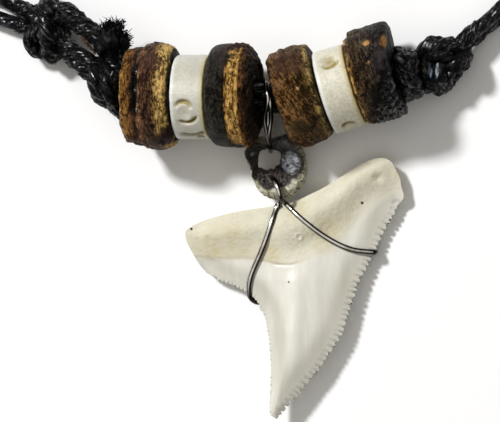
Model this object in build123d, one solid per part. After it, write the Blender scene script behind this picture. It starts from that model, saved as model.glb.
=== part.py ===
from build123d import *
import math
import os

# A shark tooth necklace laid out on a flat surface: +X runs to the right along the bead row,
# +Y runs from the tooth's tip towards the neck, +Z is up, and the surface is Z = 0.

# Cord: waxed cotton, doubled all the way round
CORD_DIAMETER = 1.5
CORD_SPACING = CORD_DIAMETER + 0.1
FLOOR_CLEARANCE = 0.04
END_GAP = 0.08

# Beads
BEAD_GAP = 0.06
BORE_PLAY = 0.5
COCO_BORE = CORD_SPACING + CORD_DIAMETER + BORE_PLAY
BONE_BORE = COCO_BORE + 0.2
BONE_DIAMETER = 9.9
LEFT_OUTER_DIAMETER = 12.6
LEFT_OUTER_LENGTH = 6.0
LEFT_BONE_LENGTH = 4.1
LEFT_INNER_DIAMETER = 12.2
LEFT_INNER_LENGTH = 5.0
RIGHT_INNER_DIAMETER = 11.8
RIGHT_INNER_LENGTH = 5.1
RIGHT_BONE_LENGTH = 3.87
RIGHT_OUTER_DIAMETER = 11.2
RIGHT_OUTER_LENGTH = 4.7

# The two rows of three beads: where each row's inner end lies in plan, its turn and its rise
LEFT_ROW_END = (1.48, 13.53)
LEFT_ROW_YAW = 0.3
LEFT_ROW_RISE = 4.0
RIGHT_ROW_START = (4.45, 12.75)
RIGHT_ROW_YAW = 16.6
RIGHT_ROW_RISE = -1.0
RIGHT_ROW_LIFT = 0.32
LEFT_BONE_DROP = 0.16
RIGHT_BONE_DROP = 0.55

# Ring bead: a short ring of shell that links the bail to the tooth's wire
RING_DIAMETER = 7.2
RING_HEIGHT = 3.4
RING_BORE = 3.1
RING_BORE_OFFSET = 0.55
RING_FUNNEL_DIAMETER = 5.4
RING_FUNNEL_DEPTH = 1.7
RING_CROWNING = 0.4
RING_X = 3.4
RING_TUCK = 1.65
RING_LIFT = 0.71
RING_LEAN = 12.0

# Wire: how far its centre line stays from what it lies on, and where the bail's two turns lie
WIRE_DIAMETER = 0.5
WIRE_SEAT = WIRE_DIAMETER / 2 + 0.13
BAIL_OFFSET = -0.45
BAIL_TURN_SPACING = WIRE_DIAMETER + 0.12

# Tooth: the crease where the enamel meets the root is its reference point
TOOTH_X = 4.3
TOOTH_RING_GAP = 0.72
ROOT_WIDTH = 25.4
ROOT_HEIGHT = 12.1
ROOT_THICKNESS = 4.5
BOSS_LENGTH = 9.0
BOSS_WIDTH = 7.5
CROWN_WIDTH = 20.1
CROWN_HEIGHT = 18.6
CROWN_THICKNESS = 3.3
NECK_CLEARANCE = 0.35
CROWN_NECK_LIFT = WIRE_DIAMETER + NECK_CLEARANCE
CROWN_TIP_LIFT = 2.3
SHOULDER_THICKNESS = 1.7

# Knots: the wraps of cord that make them
INNER_WRAP_DIAMETER = 5.6
OUTER_WRAP_DIAMETER = 6.8
OUTER_KNOT_FLATNESS = 0.8
OUTER_KNOT_LEVEL = OUTER_WRAP_DIAMETER / 2 * OUTER_KNOT_FLATNESS + 0.18

# Frayed end and clasp
TAIL_DIAMETER = 2.2
TUFT_DIAMETER = 4.6
TUFT_LENGTH = 3.0
CLASP_DIAMETER = 4.8
CLASP_LENGTH = 14.0
CLASP_GROOVE = 0.35
CLASP_CENTRE = (1.0, 158.0)


def frame_along(start, yaw, rise):
    """A plane at start whose X axis runs along the row, for a yaw in plan and a rise, in degrees."""
    turn, lift = math.radians(yaw), math.radians(rise)
    along = Vector(math.cos(turn) * math.cos(lift), math.sin(turn) * math.cos(lift), math.sin(lift))
    up = Vector(-math.cos(turn) * math.sin(lift), -math.sin(turn) * math.sin(lift), math.cos(lift))
    return Plane(origin=start, x_dir=along, z_dir=up)


def tube(points, radii, diameter):
    """A round tube along straight runs that tangent arcs join."""
    path = FilletPolyline(*points, radius=radii)
    section = Plane(origin=path @ 0, z_dir=path % 0) * Circle(diameter / 2)
    return sweep(section, path=path)


def corner_radii(points, share=0.45):
    """For each corner, share of the shorter run beside it over the tangent of half its turn."""
    radii = []
    for before, here, after in zip(points, points[1:], points[2:]):
        arriving = Vector(*here) - Vector(*before)
        leaving = Vector(*after) - Vector(*here)
        half_turn = math.radians(arriving.get_angle(leaving) / 2)
        radii.append(share * min(arriving.length, leaving.length) / math.tan(half_turn))
    return radii


# Beads

def bead(length, diameter, start_share, end_share, rim, bore):
    """A drilled bead along +X: a crowned wall between two flat faces, with rounded rims."""
    start_radius = diameter / 2 * start_share
    end_radius = diameter / 2 * end_share
    wall = [
        Line((0, bore / 2), (0, start_radius - rim)),
        RadiusArc((0, start_radius - rim), (rim, start_radius), rim),
        ThreePointArc((rim, start_radius), (length / 2, diameter / 2), (length - rim, end_radius)),
        RadiusArc((length - rim, end_radius), (length, end_radius - rim), rim),
        Polyline((length, end_radius - rim), (length, bore / 2), (0, bore / 2)),
    ]
    return revolve(make_face(Curve() + wall), Axis.X)


COCO_RIM = 0.8
SHARP_RIM = 0.4
BONE_RIM = 0.3
LEFT_ROW = [
    # name, length, diameter, start share, end share, rim, bore, drop in the row's plane
    ("coco_bead_left_outer", LEFT_OUTER_LENGTH, LEFT_OUTER_DIAMETER, 0.86, 0.92, COCO_RIM, COCO_BORE, 0),
    ("bone_disc_left", LEFT_BONE_LENGTH, BONE_DIAMETER, 0.97, 0.97, BONE_RIM, BONE_BORE, LEFT_BONE_DROP),
    ("coco_bead_left_inner", LEFT_INNER_LENGTH, LEFT_INNER_DIAMETER, 0.9, 0.97, COCO_RIM, COCO_BORE, 0),
]
RIGHT_ROW = [
    ("coco_bead_right_inner", RIGHT_INNER_LENGTH, RIGHT_INNER_DIAMETER, 0.92, 0.9, COCO_RIM, COCO_BORE, 0),
    ("bone_disc_right", RIGHT_BONE_LENGTH, BONE_DIAMETER, 0.97, 0.97, BONE_RIM, BONE_BORE, RIGHT_BONE_DROP),
    ("coco_bead_right_outer", RIGHT_OUTER_LENGTH, RIGHT_OUTER_DIAMETER, 0.97, 0.97, SHARP_RIM, COCO_BORE, 0),
]


def row_length(row):
    """The length of a row of beads, with the gaps between them."""
    return sum(length for _, length, *_ in row) + BEAD_GAP * (len(row) - 1)


def string_beads(row, plane):
    """Each bead of a row by name, one after the other along the plane's X axis."""
    strung, station = {}, 0.0
    for name, length, diameter, start_share, end_share, rim, bore, drop in row:
        shape = bead(length, diameter, start_share, end_share, rim, bore)
        strung[name] = plane * Pos(station, -drop, 0) * shape
        station += length + BEAD_GAP
    return strung


left_row_level = LEFT_OUTER_DIAMETER / 2 - LEFT_OUTER_LENGTH / 2 * math.sin(math.radians(LEFT_ROW_RISE))
left_row_end = frame_along((*LEFT_ROW_END, 0), LEFT_ROW_YAW, LEFT_ROW_RISE)
left_row_start = left_row_end.from_local_coords((-row_length(LEFT_ROW), 0, 0))
left_row = frame_along(
    (left_row_start.X, left_row_start.Y, left_row_level + FLOOR_CLEARANCE), LEFT_ROW_YAW, LEFT_ROW_RISE
)
right_row = frame_along(
    (*RIGHT_ROW_START, RIGHT_INNER_DIAMETER / 2 + RIGHT_ROW_LIFT), RIGHT_ROW_YAW, RIGHT_ROW_RISE
)


# Cord through the beads

CORD_LEAD = BEAD_GAP + END_GAP


def bead_cord(level):
    """One of the two strands that run through the six beads, above or below the rows' axes."""
    offset = level * CORD_SPACING / 2
    ends = [
        left_row.from_local_coords((-CORD_LEAD, 0, offset)),
        left_row.from_local_coords((row_length(LEFT_ROW) - BEAD_GAP, 0, offset)),
        right_row.from_local_coords((BEAD_GAP, 0, offset)),
        right_row.from_local_coords((row_length(RIGHT_ROW) + CORD_LEAD, 0, offset)),
    ]
    points = [tuple(end) for end in ends]
    return tube(points, corner_radii(points), CORD_DIAMETER)


# Ring bead

lean = math.radians(RING_LEAN)
between_rows = (left_row.from_local_coords((row_length(LEFT_ROW), 0, 0)) + right_row.origin) / 2
ring_y = between_rows.Y - max(LEFT_INNER_DIAMETER, RIGHT_INNER_DIAMETER) / 2 - RING_DIAMETER / 2 + RING_TUCK
ring_level = RING_DIAMETER / 2 * math.sin(lean) + RING_HEIGHT / 2 * math.cos(lean) + RING_LIFT
ring_plane = Plane(
    origin=(RING_X, ring_y, ring_level),
    x_dir=(0, math.cos(lean), math.sin(lean)),
    z_dir=(0, -math.sin(lean), math.cos(lean)),
)


def ring_bead():
    """A crowned ring with a funnel in its upper face and a bore set a little to the bail's side."""
    outer, half, edge = RING_DIAMETER / 2, RING_HEIGHT / 2, RING_CROWNING
    wall = [
        Polyline((outer - edge, half), (0, half), (0, -half), (outer - edge, -half)),
        ThreePointArc((outer - edge, -half), (outer, 0), (outer - edge, half)),
    ]
    ring = revolve(Plane.XZ * make_face(Curve() + wall), Axis.Z)
    bore = Pos(RING_BORE_OFFSET, RING_BORE_OFFSET, 0) * Cylinder(RING_BORE / 2, 2 * RING_HEIGHT)
    funnel = Cone(RING_BORE / 2, RING_FUNNEL_DIAMETER / 2, RING_FUNNEL_DEPTH)
    return ring_plane * (ring - bore - Pos(0, 0, half - RING_FUNNEL_DEPTH / 2) * funnel)


# Tooth

ROOT_NOTCH = 0.56
TOOTH_CREASE = (TOOTH_X, ring_y - RING_DIAMETER / 2 - TOOTH_RING_GAP - ROOT_NOTCH * ROOT_HEIGHT)
ROOT_OUTLINE = [
    # share of root width from the crease, share of root height above the crease
    (-0.449, 0.252),
    (-0.405, 0.350),
    (-0.250, 0.461),
    (-0.102, 0.524),
    (0.034, ROOT_NOTCH),
    (0.110, 0.665),
    (0.282, 0.845),
    (0.385, 0.965),
    (0.470, 1.000),
    (0.535, 0.890),
    (0.542, 0.730),
    (0.440, 0.600),
    (0.330, 0.400),
    (0.190, 0.060),
    (0.060, -0.020),
    (-0.102, -0.020),
    (-0.273, -0.040),
    (-0.385, 0.020),
]
ROOT_SECTIONS = [
    # share of root thickness, size of the outline there
    (0.0, 0.86),
    (0.28, 1.0),
    (0.62, 0.98),
    (1.0, 0.74),
]
CROWN_SECTIONS = [
    # share of crown height below the crease, left and right edge in shares of crown width, share of thickness
    (-0.10, -0.500, 0.540, 0.98),
    (0.00, -0.491, 0.509, 1.00),
    (0.12, -0.370, 0.454, 0.97),
    (0.19, -0.222, 0.427, 0.94),
    (0.26, -0.165, 0.400, 0.89),
    (0.41, -0.097, 0.361, 0.79),
    (0.56, -0.085, 0.287, 0.66),
    (0.73, -0.083, 0.178, 0.48),
    (0.88, -0.080, 0.055, 0.32),
    (1.00, -0.066, -0.036, 0.14),
]
SHOULDER_OUTLINE = [
    # share of root width, share of root height: the blade of enamel up the root's right side
    (0.530, 0.780),
    (0.553, 0.640),
    (0.515, 0.480),
    (0.465, 0.270),
    (0.410, 0.050),
    (0.300, -0.080),
    (0.180, -0.020),
    (0.280, 0.300),
    (0.400, 0.600),
]


def root_point(width_share, height_share, size=1.0):
    """A point of the root's outline in plan, drawn in by size towards the root's middle."""
    middle_x, middle_y = 0.06 * ROOT_WIDTH, 0.42 * ROOT_HEIGHT
    x = middle_x + (width_share * ROOT_WIDTH - middle_x) * size
    y = middle_y + (height_share * ROOT_HEIGHT - middle_y) * size
    return (TOOTH_CREASE[0] + x, TOOTH_CREASE[1] + y)


def root():
    """The two-lobed root, lofted through one outline at four levels."""
    levels = []
    for level, size in ROOT_SECTIONS:
        outline = Spline(*[root_point(*row, size) for row in ROOT_OUTLINE], periodic=True)
        levels.append(Pos(0, 0, level * ROOT_THICKNESS) * make_face(outline))
    return loft(levels)


def crown_section(height_share, left_share, right_share, thickness_share):
    """A lens across the crown: a domed upper face over a nearly flat lower one."""
    y = TOOTH_CREASE[1] - height_share * CROWN_HEIGHT
    left = TOOTH_CREASE[0] + left_share * CROWN_WIDTH
    right = TOOTH_CREASE[0] + right_share * CROWN_WIDTH
    lift = CROWN_NECK_LIFT + (CROWN_TIP_LIFT - CROWN_NECK_LIFT) * max(height_share, 0)
    thickness = CROWN_THICKNESS * thickness_share
    edge, middle = lift + 0.32 * thickness, (left + right) / 2
    upper = ThreePointArc((left, y, edge), (middle, y, lift + thickness), (right, y, edge))
    lower = ThreePointArc((right, y, edge), (middle, y, lift), (left, y, edge))
    return make_face(Curve() + [upper, lower])


def crown():
    """The blade, lofted through lenses from behind the root to the tip."""
    return loft([crown_section(*row) for row in CROWN_SECTIONS])


def shoulder():
    """The thin blade of enamel that climbs the right side of the root."""
    outline = Spline(*[root_point(*row) for row in SHOULDER_OUTLINE], periodic=True)
    return Pos(0, 0, CROWN_NECK_LIFT) * extrude(make_face(outline), SHOULDER_THICKNESS)


def boss():
    """The swelling in the middle of the root's upper face."""
    x, y = root_point(0.03, 0.27)
    height = 1.5 * ROOT_THICKNESS
    swelling = scale(Sphere(0.5), (BOSS_LENGTH, BOSS_WIDTH, height))
    upper_half = Box(BOSS_LENGTH, BOSS_WIDTH, height, align=(Align.CENTER, Align.CENTER, Align.MIN))
    return Pos(x, y, ROOT_THICKNESS * 0.38) * (swelling & upper_half)


def shark_tooth():
    """The whole tooth as one solid."""
    return root() + crown() + shoulder() + boss()


# Wires

def ring_point(outward, height):
    """Along and up of a point in the ring's frame: outward to the bail's side, height along its axis."""
    point = ring_plane.from_local_coords((outward, 0, height))
    return (point.Y, point.Z)


def bail_route():
    """Two turns of wire round the doubled cord and through the ring bead."""
    far_wall, half, outer = RING_BORE_OFFSET + RING_BORE / 2, RING_HEIGHT / 2, RING_DIAMETER / 2
    cord = between_rows
    reach = CORD_SPACING / 2 + CORD_DIAMETER / 2 + WIRE_SEAT
    turn = [
        (cord.Y - 0.7, cord.Z - reach - 0.15),
        (cord.Y + 1.5, cord.Z - reach + 0.1),
        (cord.Y + reach + 0.4, cord.Z - 0.2),
        (cord.Y + 1.6, cord.Z + reach - 0.1),
        (cord.Y - 0.5, cord.Z + reach + 0.1),
        ring_point(outer * 0.93, half + WIRE_SEAT + 0.3),
        ring_point(outer * 0.58, half + WIRE_SEAT + 0.05),
        ring_point(far_wall - WIRE_SEAT - 0.15, half * 0.3),
        ring_point(far_wall - WIRE_SEAT - 0.05, -half - WIRE_SEAT - 0.1),
        ring_point(outer - 0.3, -half - WIRE_SEAT - 0.1),
        ring_point(outer + WIRE_SEAT + 0.3, -half * 0.4),
    ]
    lead = [0.12 * last + 0.88 * first for first, last in zip(turn[0], turn[-1])]
    tail = [0.88 * last + 0.12 * first for first, last in zip(turn[0], turn[-1])]
    near = RING_X + BAIL_OFFSET - BAIL_TURN_SPACING / 2
    far = near + BAIL_TURN_SPACING
    return [(near, *corner) for corner in [lead, *turn]] + [(far, *corner) for corner in [*turn, tail]]


def bail_link():
    """The bail, from end to end of its wire."""
    points = bail_route()
    return tube(points, corner_radii(points), WIRE_DIAMETER)


TOOTH_WIRE_RIGHT = [
    # share of root width from the crease, share of root height above it, share of root thickness
    (0.459, 0.117, 0.00),
    (0.459, 0.117, 0.50),
    (0.412, 0.105, 0.57),
    (0.330, 0.135, 0.71),
    (0.200, 0.277, 1.00),
    (0.092, 0.433, 1.00),
]
TOOTH_WIRE_LEFT_ROOT = [
    (-0.022, 0.530, 1.00),
    (-0.076, 0.184, 1.02),
    (-0.100, 0.085, 1.00),
    (-0.116, -0.020, 0.92),
]
TOOTH_WIRE_LEFT_CROWN = [
    # share of crown width from the crease, share of crown height below it, share of crown thickness
    (-0.177, 0.102, 0.89),
    (-0.199, 0.185, 0.54),
    (-0.214, 0.232, 0.24),
    (-0.187, 0.262, 0.00),
]
WIRE_ABOVE_FACE = WIRE_SEAT + 0.13


def wire_on_root(width_share, height_share, thickness_share):
    """A corner of the tooth's wire above the root."""
    level = thickness_share * ROOT_THICKNESS + WIRE_ABOVE_FACE
    return (TOOTH_CREASE[0] + width_share * ROOT_WIDTH, TOOTH_CREASE[1] + height_share * ROOT_HEIGHT, level)


def wire_on_crown(width_share, height_share, thickness_share):
    """A corner of the tooth's wire above the crown."""
    level = CROWN_NECK_LIFT + thickness_share * CROWN_THICKNESS + WIRE_ABOVE_FACE
    return (TOOTH_CREASE[0] + width_share * CROWN_WIDTH, TOOTH_CREASE[1] - height_share * CROWN_HEIGHT, level)


def behind_crown(width_share, height_share):
    """A corner of the tooth's wire behind the crown's neck."""
    x, y, _ = wire_on_crown(width_share, height_share, 0)
    return (x, y, (WIRE_DIAMETER + NECK_CLEARANCE) / 2)


def tooth_wire_route():
    """Behind the tooth's neck, up its face and through the ring bead, and down again."""
    near_wall, half, outer = RING_BORE_OFFSET - RING_BORE / 2, RING_HEIGHT / 2, RING_DIAMETER / 2
    through_ring = [
        # across from the ring's centre, then outward and along its axis
        (0.95, -outer - 0.35, half + WIRE_SEAT + 0.35),
        (0.35, -outer * 0.8, half + WIRE_SEAT + 0.1),
        (-0.3, near_wall + WIRE_SEAT + 0.05, half * 0.35),
        (-0.35, near_wall + WIRE_SEAT + 0.2, -half - 0.3),
        (0.0, near_wall - 0.9, -half - WIRE_SEAT - 0.08),
        (0.35, -outer + 0.2, -half - WIRE_SEAT),
        (0.5, -outer - WIRE_SEAT, -half + 0.3),
        (0.45, -outer - WIRE_SEAT + 0.05, half * 0.5),
    ]
    return [
        behind_crown(0.053, 0.181),
        behind_crown(0.495, -0.045),
        *[wire_on_root(*row) for row in TOOTH_WIRE_RIGHT],
        *[(RING_X + across, *ring_point(*place)) for across, *place in through_ring],
        *[wire_on_root(*row) for row in TOOTH_WIRE_LEFT_ROOT],
        *[wire_on_crown(*row) for row in TOOTH_WIRE_LEFT_CROWN],
        behind_crown(-0.133, 0.274),
        behind_crown(0.035, 0.190),
    ]


def tooth_wire():
    """The wire that holds the tooth to the ring bead."""
    points = tooth_wire_route()
    return tube(points, corner_radii(points), WIRE_DIAMETER)


# Knots

KNOTS = {
    # name: wrap diameter, height against width, and each wrap's station and lean in degrees
    "knot_left_outer": (OUTER_WRAP_DIAMETER, OUTER_KNOT_FLATNESS, [(-0.95, 18), (0, -16), (0.95, 14)]),
    "knot_left_inner": (INNER_WRAP_DIAMETER, 1.0, [(-0.75, 15), (0.75, -13)]),
    "knot_right_inner": (INNER_WRAP_DIAMETER, 1.0, [(-0.5, -9), (0.5, 12)]),
    "knot_right_outer": (OUTER_WRAP_DIAMETER, OUTER_KNOT_FLATNESS, [(-1.1, -17), (0, 20), (1.1, -14)]),
}


def wrap_radius(name):
    """The radius of a knot's wraps to the middle of the cord."""
    return (KNOTS[name][0] - CORD_DIAMETER) / 2


def knot_reach(name):
    """How far a knot goes along its axis to each side of its middle."""
    tilted = [abs(at) + wrap_radius(name) * math.sin(math.radians(abs(lean))) for at, lean in KNOTS[name][2]]
    return max(tilted) + CORD_DIAMETER / 2


INNER_SEAT = CORD_LEAD + END_GAP
left_inner_centre = left_row.from_local_coords((-INNER_SEAT - knot_reach("knot_left_inner"), 0.95, -0.2))
right_inner_centre = right_row.from_local_coords(
    (row_length(RIGHT_ROW) + INNER_SEAT + knot_reach("knot_right_inner"), -1.1, -0.3)
)
left_outer_centre = (left_inner_centre.X - 7.75, left_inner_centre.Y + 7.0, OUTER_KNOT_LEVEL)
right_outer_centre = (
    right_inner_centre.X + knot_reach("knot_right_inner") + knot_reach("knot_right_outer") - 0.05,
    right_inner_centre.Y + 1.15,
    OUTER_KNOT_LEVEL,
)
KNOT_PLANES = {
    "knot_left_outer": frame_along(left_outer_centre, -24, 8),
    "knot_left_inner": frame_along(left_inner_centre, LEFT_ROW_YAW, LEFT_ROW_RISE),
    "knot_right_inner": frame_along(right_inner_centre, RIGHT_ROW_YAW, RIGHT_ROW_RISE),
    "knot_right_outer": frame_along(right_outer_centre, 17, -6),
}


def knot(name):
    """Wraps of cord round a short core along the knot's X axis, all fused."""
    _, flatness, wraps = KNOTS[name]
    body = Rot(0, 90, 0) * Cylinder(wrap_radius(name) - CORD_DIAMETER * 0.1, 2 * knot_reach(name))
    for station, lean in wraps:
        body += Pos(station, 0, 0) * Rot(0, 0, lean) * Rot(0, 90, 0) * Torus(wrap_radius(name), CORD_DIAMETER / 2)
    return KNOT_PLANES[name] * scale(body, (1, 1, flatness))


def beside_knot(name, side, gap, across, up):
    """A point off a knot's end: side -1 or 1, the gap to its end, across and up of its axis."""
    return KNOT_PLANES[name].from_local_coords((side * (knot_reach(name) + gap), across, up))


# Bridge between the left knots, and the cut tail beside it

def bridge_cord(side):
    """One of the two strands between the left knots, beside and above the other."""
    start = beside_knot("knot_left_outer", 1, 0.8, -0.1, 0.3)
    end = beside_knot("knot_left_inner", -1, 0.95, 1.7, -0.3)
    along = end - start
    across = Vector(along.Y, -along.X, 0).normalized() * side * CORD_SPACING * 0.36
    up = Vector(0, 0, side * CORD_SPACING * 0.42)
    section = Plane(origin=start + across + up, z_dir=along) * Circle(CORD_DIAMETER / 2)
    return extrude(section, along.length)


def cut_tail():
    """The cut end of the cord beside the left knots, with its frayed tuft."""
    start = beside_knot("knot_left_outer", 1, 0.2, 2.75, 0.9)
    bend = start + Vector(2.1, -0.95, 0.9)
    tip = bend + Vector(1.2, -0.7, 0.4)
    points = [tuple(start), tuple(bend), tuple(tip)]
    tail = tube(points, corner_radii(points), TAIL_DIAMETER)
    plane = Plane(origin=tip, z_dir=tip - bend)
    levels = [(0.0, TAIL_DIAMETER), (0.35, TUFT_DIAMETER * 0.84), (0.75, TUFT_DIAMETER), (1.0, TUFT_DIAMETER * 0.72)]
    rings = [plane * Pos(0, 0, share * TUFT_LENGTH) * Circle(width / 2) for share, width in levels]
    return tail + loft(rings)


# Neck cords

FLOOR_LEVEL = CORD_DIAMETER / 2 + FLOOR_CLEARANCE
CLASP_LEVEL = CLASP_DIAMETER / 2
CLASP_GAP = 0.2
NECK_ROUTES = {
    # each strand: its knot, side, gap, across and up there, its points round to the clasp,
    # and its side and place at the clasp
    "neck_cord_left_a": (("knot_left_outer", -1, 0.25, 1.0, 0.1), -1, -1, [
        (-33.0, 26.3, FLOOR_LEVEL),
        (-44.2, 32.9, FLOOR_LEVEL),
        (-60.4, 51.0, FLOOR_LEVEL),
        (-68.9, 74.0, FLOOR_LEVEL),
        (-67.9, 98.4, FLOOR_LEVEL),
        (-59.4, 121.4, FLOOR_LEVEL),
        (-44.6, 140.2, FLOOR_LEVEL),
        (-24.6, 152.8, FLOOR_LEVEL),
        (-13.6, 156.5, FLOOR_LEVEL + 0.9),
    ]),
    "neck_cord_left_b": (("knot_left_outer", -1, 0.25, -0.95, -0.3), -1, 1, [
        (-33.8, 24.0, FLOOR_LEVEL),
        (-45.6, 31.1, FLOOR_LEVEL),
        (-62.4, 49.8, FLOOR_LEVEL),
        (-71.3, 73.5, FLOOR_LEVEL),
        (-70.3, 99.2, FLOOR_LEVEL),
        (-61.3, 122.9, FLOOR_LEVEL),
        (-45.9, 142.2, FLOOR_LEVEL),
        (-25.0, 155.1, FLOOR_LEVEL),
        (-13.7, 158.3, FLOOR_LEVEL + 0.9),
    ]),
    "neck_cord_right_a": (("knot_right_outer", 1, 0.5, 1.9, -0.8), 1, 1, [
        (31.6, 24.3, FLOOR_LEVEL),
        (43.8, 34.6, FLOOR_LEVEL),
        (58.4, 51.2, FLOOR_LEVEL),
        (68.2, 72.6, FLOOR_LEVEL),
        (70.4, 96.4, FLOOR_LEVEL),
        (63.6, 119.6, FLOOR_LEVEL),
        (49.6, 138.4, FLOOR_LEVEL),
        (29.6, 152.2, FLOOR_LEVEL),
        (17.0, 157.7, FLOOR_LEVEL + 0.9),
    ]),
    "neck_cord_right_b": (("knot_right_outer", 1, 0.5, 2.4, 0.75), 1, -1, [
        (30.9, 25.2, 2.2),
        (42.2, 36.3, FLOOR_LEVEL),
        (56.5, 52.5, FLOOR_LEVEL),
        (66.0, 73.2, FLOOR_LEVEL),
        (68.1, 96.2, FLOOR_LEVEL),
        (61.5, 118.5, FLOOR_LEVEL),
        (48.0, 136.8, FLOOR_LEVEL),
        (28.6, 149.9, FLOOR_LEVEL),
        (16.6, 155.8, FLOOR_LEVEL + 0.9),
    ]),
}


def neck_points(name):
    """All the points of one strand round the neck, from its knot to the clasp."""
    at_knot, side, place, between = NECK_ROUTES[name]
    x, y = CLASP_CENTRE
    last = (x + side * (CLASP_LENGTH / 2 + CLASP_GAP), y + place * CORD_SPACING / 2, CLASP_LEVEL)
    return [tuple(beside_knot(*at_knot)), *between, last]


def cord_clasp():
    """A plain barrel clasp with a groove where its halves meet."""
    barrel = Cylinder(CLASP_DIAMETER / 2, CLASP_LENGTH)
    barrel = fillet(barrel.edges().filter_by(GeomType.CIRCLE), CLASP_DIAMETER / 8)
    groove = Torus(CLASP_DIAMETER / 2, CLASP_GROOVE)
    return Pos(CLASP_CENTRE[0], CLASP_CENTRE[1], CLASP_LEVEL) * Rot(0, 90, 0) * (barrel - groove)


# Write each piece to its own file

def solids():
    """Every piece of the necklace by its node's name."""
    pieces = {}
    pieces.update(string_beads(LEFT_ROW, left_row))
    pieces.update(string_beads(RIGHT_ROW, right_row))
    pieces["bead_cord_upper"] = bead_cord(1)
    pieces["bead_cord_lower"] = bead_cord(-1)
    pieces["ring_bead"] = ring_bead()
    pieces["bail_link"] = bail_link()
    pieces["tooth_wire"] = tooth_wire()
    pieces["shark_tooth"] = shark_tooth()
    for name in KNOTS:
        pieces[name] = knot(name)
    pieces["bridge_cord_upper"] = bridge_cord(1)
    pieces["bridge_cord_lower"] = bridge_cord(-1)
    pieces["cut_tail_left"] = cut_tail()
    for name in NECK_ROUTES:
        points = neck_points(name)
        radii = corner_radii(points)
        pieces[name] = tube(points, radii, CORD_DIAMETER)
        print(name, "radii", [round(radius, 1) for radius in radii])
    pieces["cord_clasp"] = cord_clasp()
    return pieces


os.makedirs("parts", exist_ok=True)
for name, shape in solids().items():
    shape.label = name
    export_step(shape, f"parts/{name}.step")
    box = shape.bounding_box()
    print(name, round(shape.volume, 2), [round(v, 2) for v in (*box.min, *box.max)])
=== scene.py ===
# %% [markdown]
# # A shark tooth necklace
#
# The object is a doubled waxed cord with six turned beads, a worn shell ring and a shark's tooth
# held by one bright wire. It lies on a pale surface and is seen from almost straight above.
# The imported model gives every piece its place. This script gives each piece its real surface:
# twisted cord, turned coconut shell, carved bone, rough shell, bright wire, enamel and root.

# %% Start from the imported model
import math

import bpy
import numpy as np
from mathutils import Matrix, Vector, geometry


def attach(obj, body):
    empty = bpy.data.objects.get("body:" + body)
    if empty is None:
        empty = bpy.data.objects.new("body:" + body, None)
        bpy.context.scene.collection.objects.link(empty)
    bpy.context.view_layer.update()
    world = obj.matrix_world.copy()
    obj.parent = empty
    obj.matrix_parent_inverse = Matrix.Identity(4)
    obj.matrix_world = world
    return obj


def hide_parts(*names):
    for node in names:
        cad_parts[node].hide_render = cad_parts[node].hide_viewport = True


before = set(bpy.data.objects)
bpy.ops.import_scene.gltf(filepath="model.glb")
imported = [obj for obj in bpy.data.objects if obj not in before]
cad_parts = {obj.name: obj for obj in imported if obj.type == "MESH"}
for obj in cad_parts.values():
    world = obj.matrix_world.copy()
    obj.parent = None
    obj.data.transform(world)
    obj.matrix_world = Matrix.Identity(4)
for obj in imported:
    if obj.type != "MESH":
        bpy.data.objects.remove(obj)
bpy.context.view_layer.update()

MM = 0.001
scene = bpy.context.scene
print("nodes in the packed model:", len(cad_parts))

# %% [markdown]
# The camera comes first, because many small features are placed by where the photo shows them.
# It looks down and leans 8 degrees to the right, from far away, so heights hardly move a point.

# %% Camera
CAMERA_LEAN = math.radians(8)
CAMERA_FAR = 900.0
PIXELS_PER_MM = 8.5
MIDDLE = (250, 211)
SENSOR = 36.0
PICTURE_WIDTH = 500

camera_data = bpy.data.cameras.new("camera")
camera_data.sensor_width = SENSOR
camera_data.lens = SENSOR * CAMERA_FAR * PIXELS_PER_MM / PICTURE_WIDTH
camera_data.clip_end = 10
camera = bpy.data.objects.new("camera", camera_data)
camera.location = (CAMERA_FAR * MM * math.sin(CAMERA_LEAN), 0, CAMERA_FAR * MM * math.cos(CAMERA_LEAN))
camera.rotation_euler = (0, CAMERA_LEAN, 0)
scene.collection.objects.link(camera)
scene.camera = camera
EYE = np.array(camera.location) / MM
print("lens", round(camera_data.lens), "mm")


def sight(px, py):
    """The direction from the camera through a place in the photo."""
    u, v = (px - MIDDLE[0]) / PIXELS_PER_MM, (MIDDLE[1] - py) / PIXELS_PER_MM
    return np.array([u * math.cos(CAMERA_LEAN), v, -u * math.sin(CAMERA_LEAN)]) - EYE


def seen(px, py, height):
    """The point at that height which the camera sees there, in mm."""
    ray = sight(px, py)
    return EYE + ray * (height - EYE[2]) / ray[2]


# %% [markdown]
# The surface is plain white. A fairly small light stands at the upper left, so the tooth's saw
# edge shows in its own shadow.

# %% Floor, light and colours
def paint(red, green, blue):
    """A colour as a painter names it, 0 to 255, made linear for the shader."""
    return tuple((c / 12.92 if c <= 0.04045 else ((c + 0.055) / 1.055) ** 2.4) for c in
                 (red / 255, green / 255, blue / 255)) + (1.0,)


scene.view_settings.view_transform = "Standard"
sky = bpy.data.worlds.new("sky")
sky.use_nodes = True
scene.world = sky


def lamp(name, azimuth, elevation, far, size, power, colour):
    """A square panel of light that faces the necklace; azimuth runs from +X towards +Y."""
    data = bpy.data.lights.new(name, "AREA")
    data.size = size
    data.energy = power
    data.color = colour
    panel = bpy.data.objects.new(name, data)
    a, e = math.radians(azimuth), math.radians(elevation)
    place = Vector((math.cos(a) * math.cos(e), math.sin(a) * math.cos(e), math.sin(e))) * far
    panel.location = place
    panel.rotation_euler = place.to_track_quat("Z", "Y").to_euler()
    scene.collection.objects.link(panel)


lamp("key", azimuth=135, elevation=50, far=1.2, size=0.15, power=13.6, colour=(0.985, 0.99, 1.0))
print("lamps:", [light.name for light in bpy.data.lights])


# %% [markdown]
# Small helpers for shader trees keep each recipe short. Two join or set a node's inputs by name,
# and the others add the few kinds of node that every recipe needs.

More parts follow.
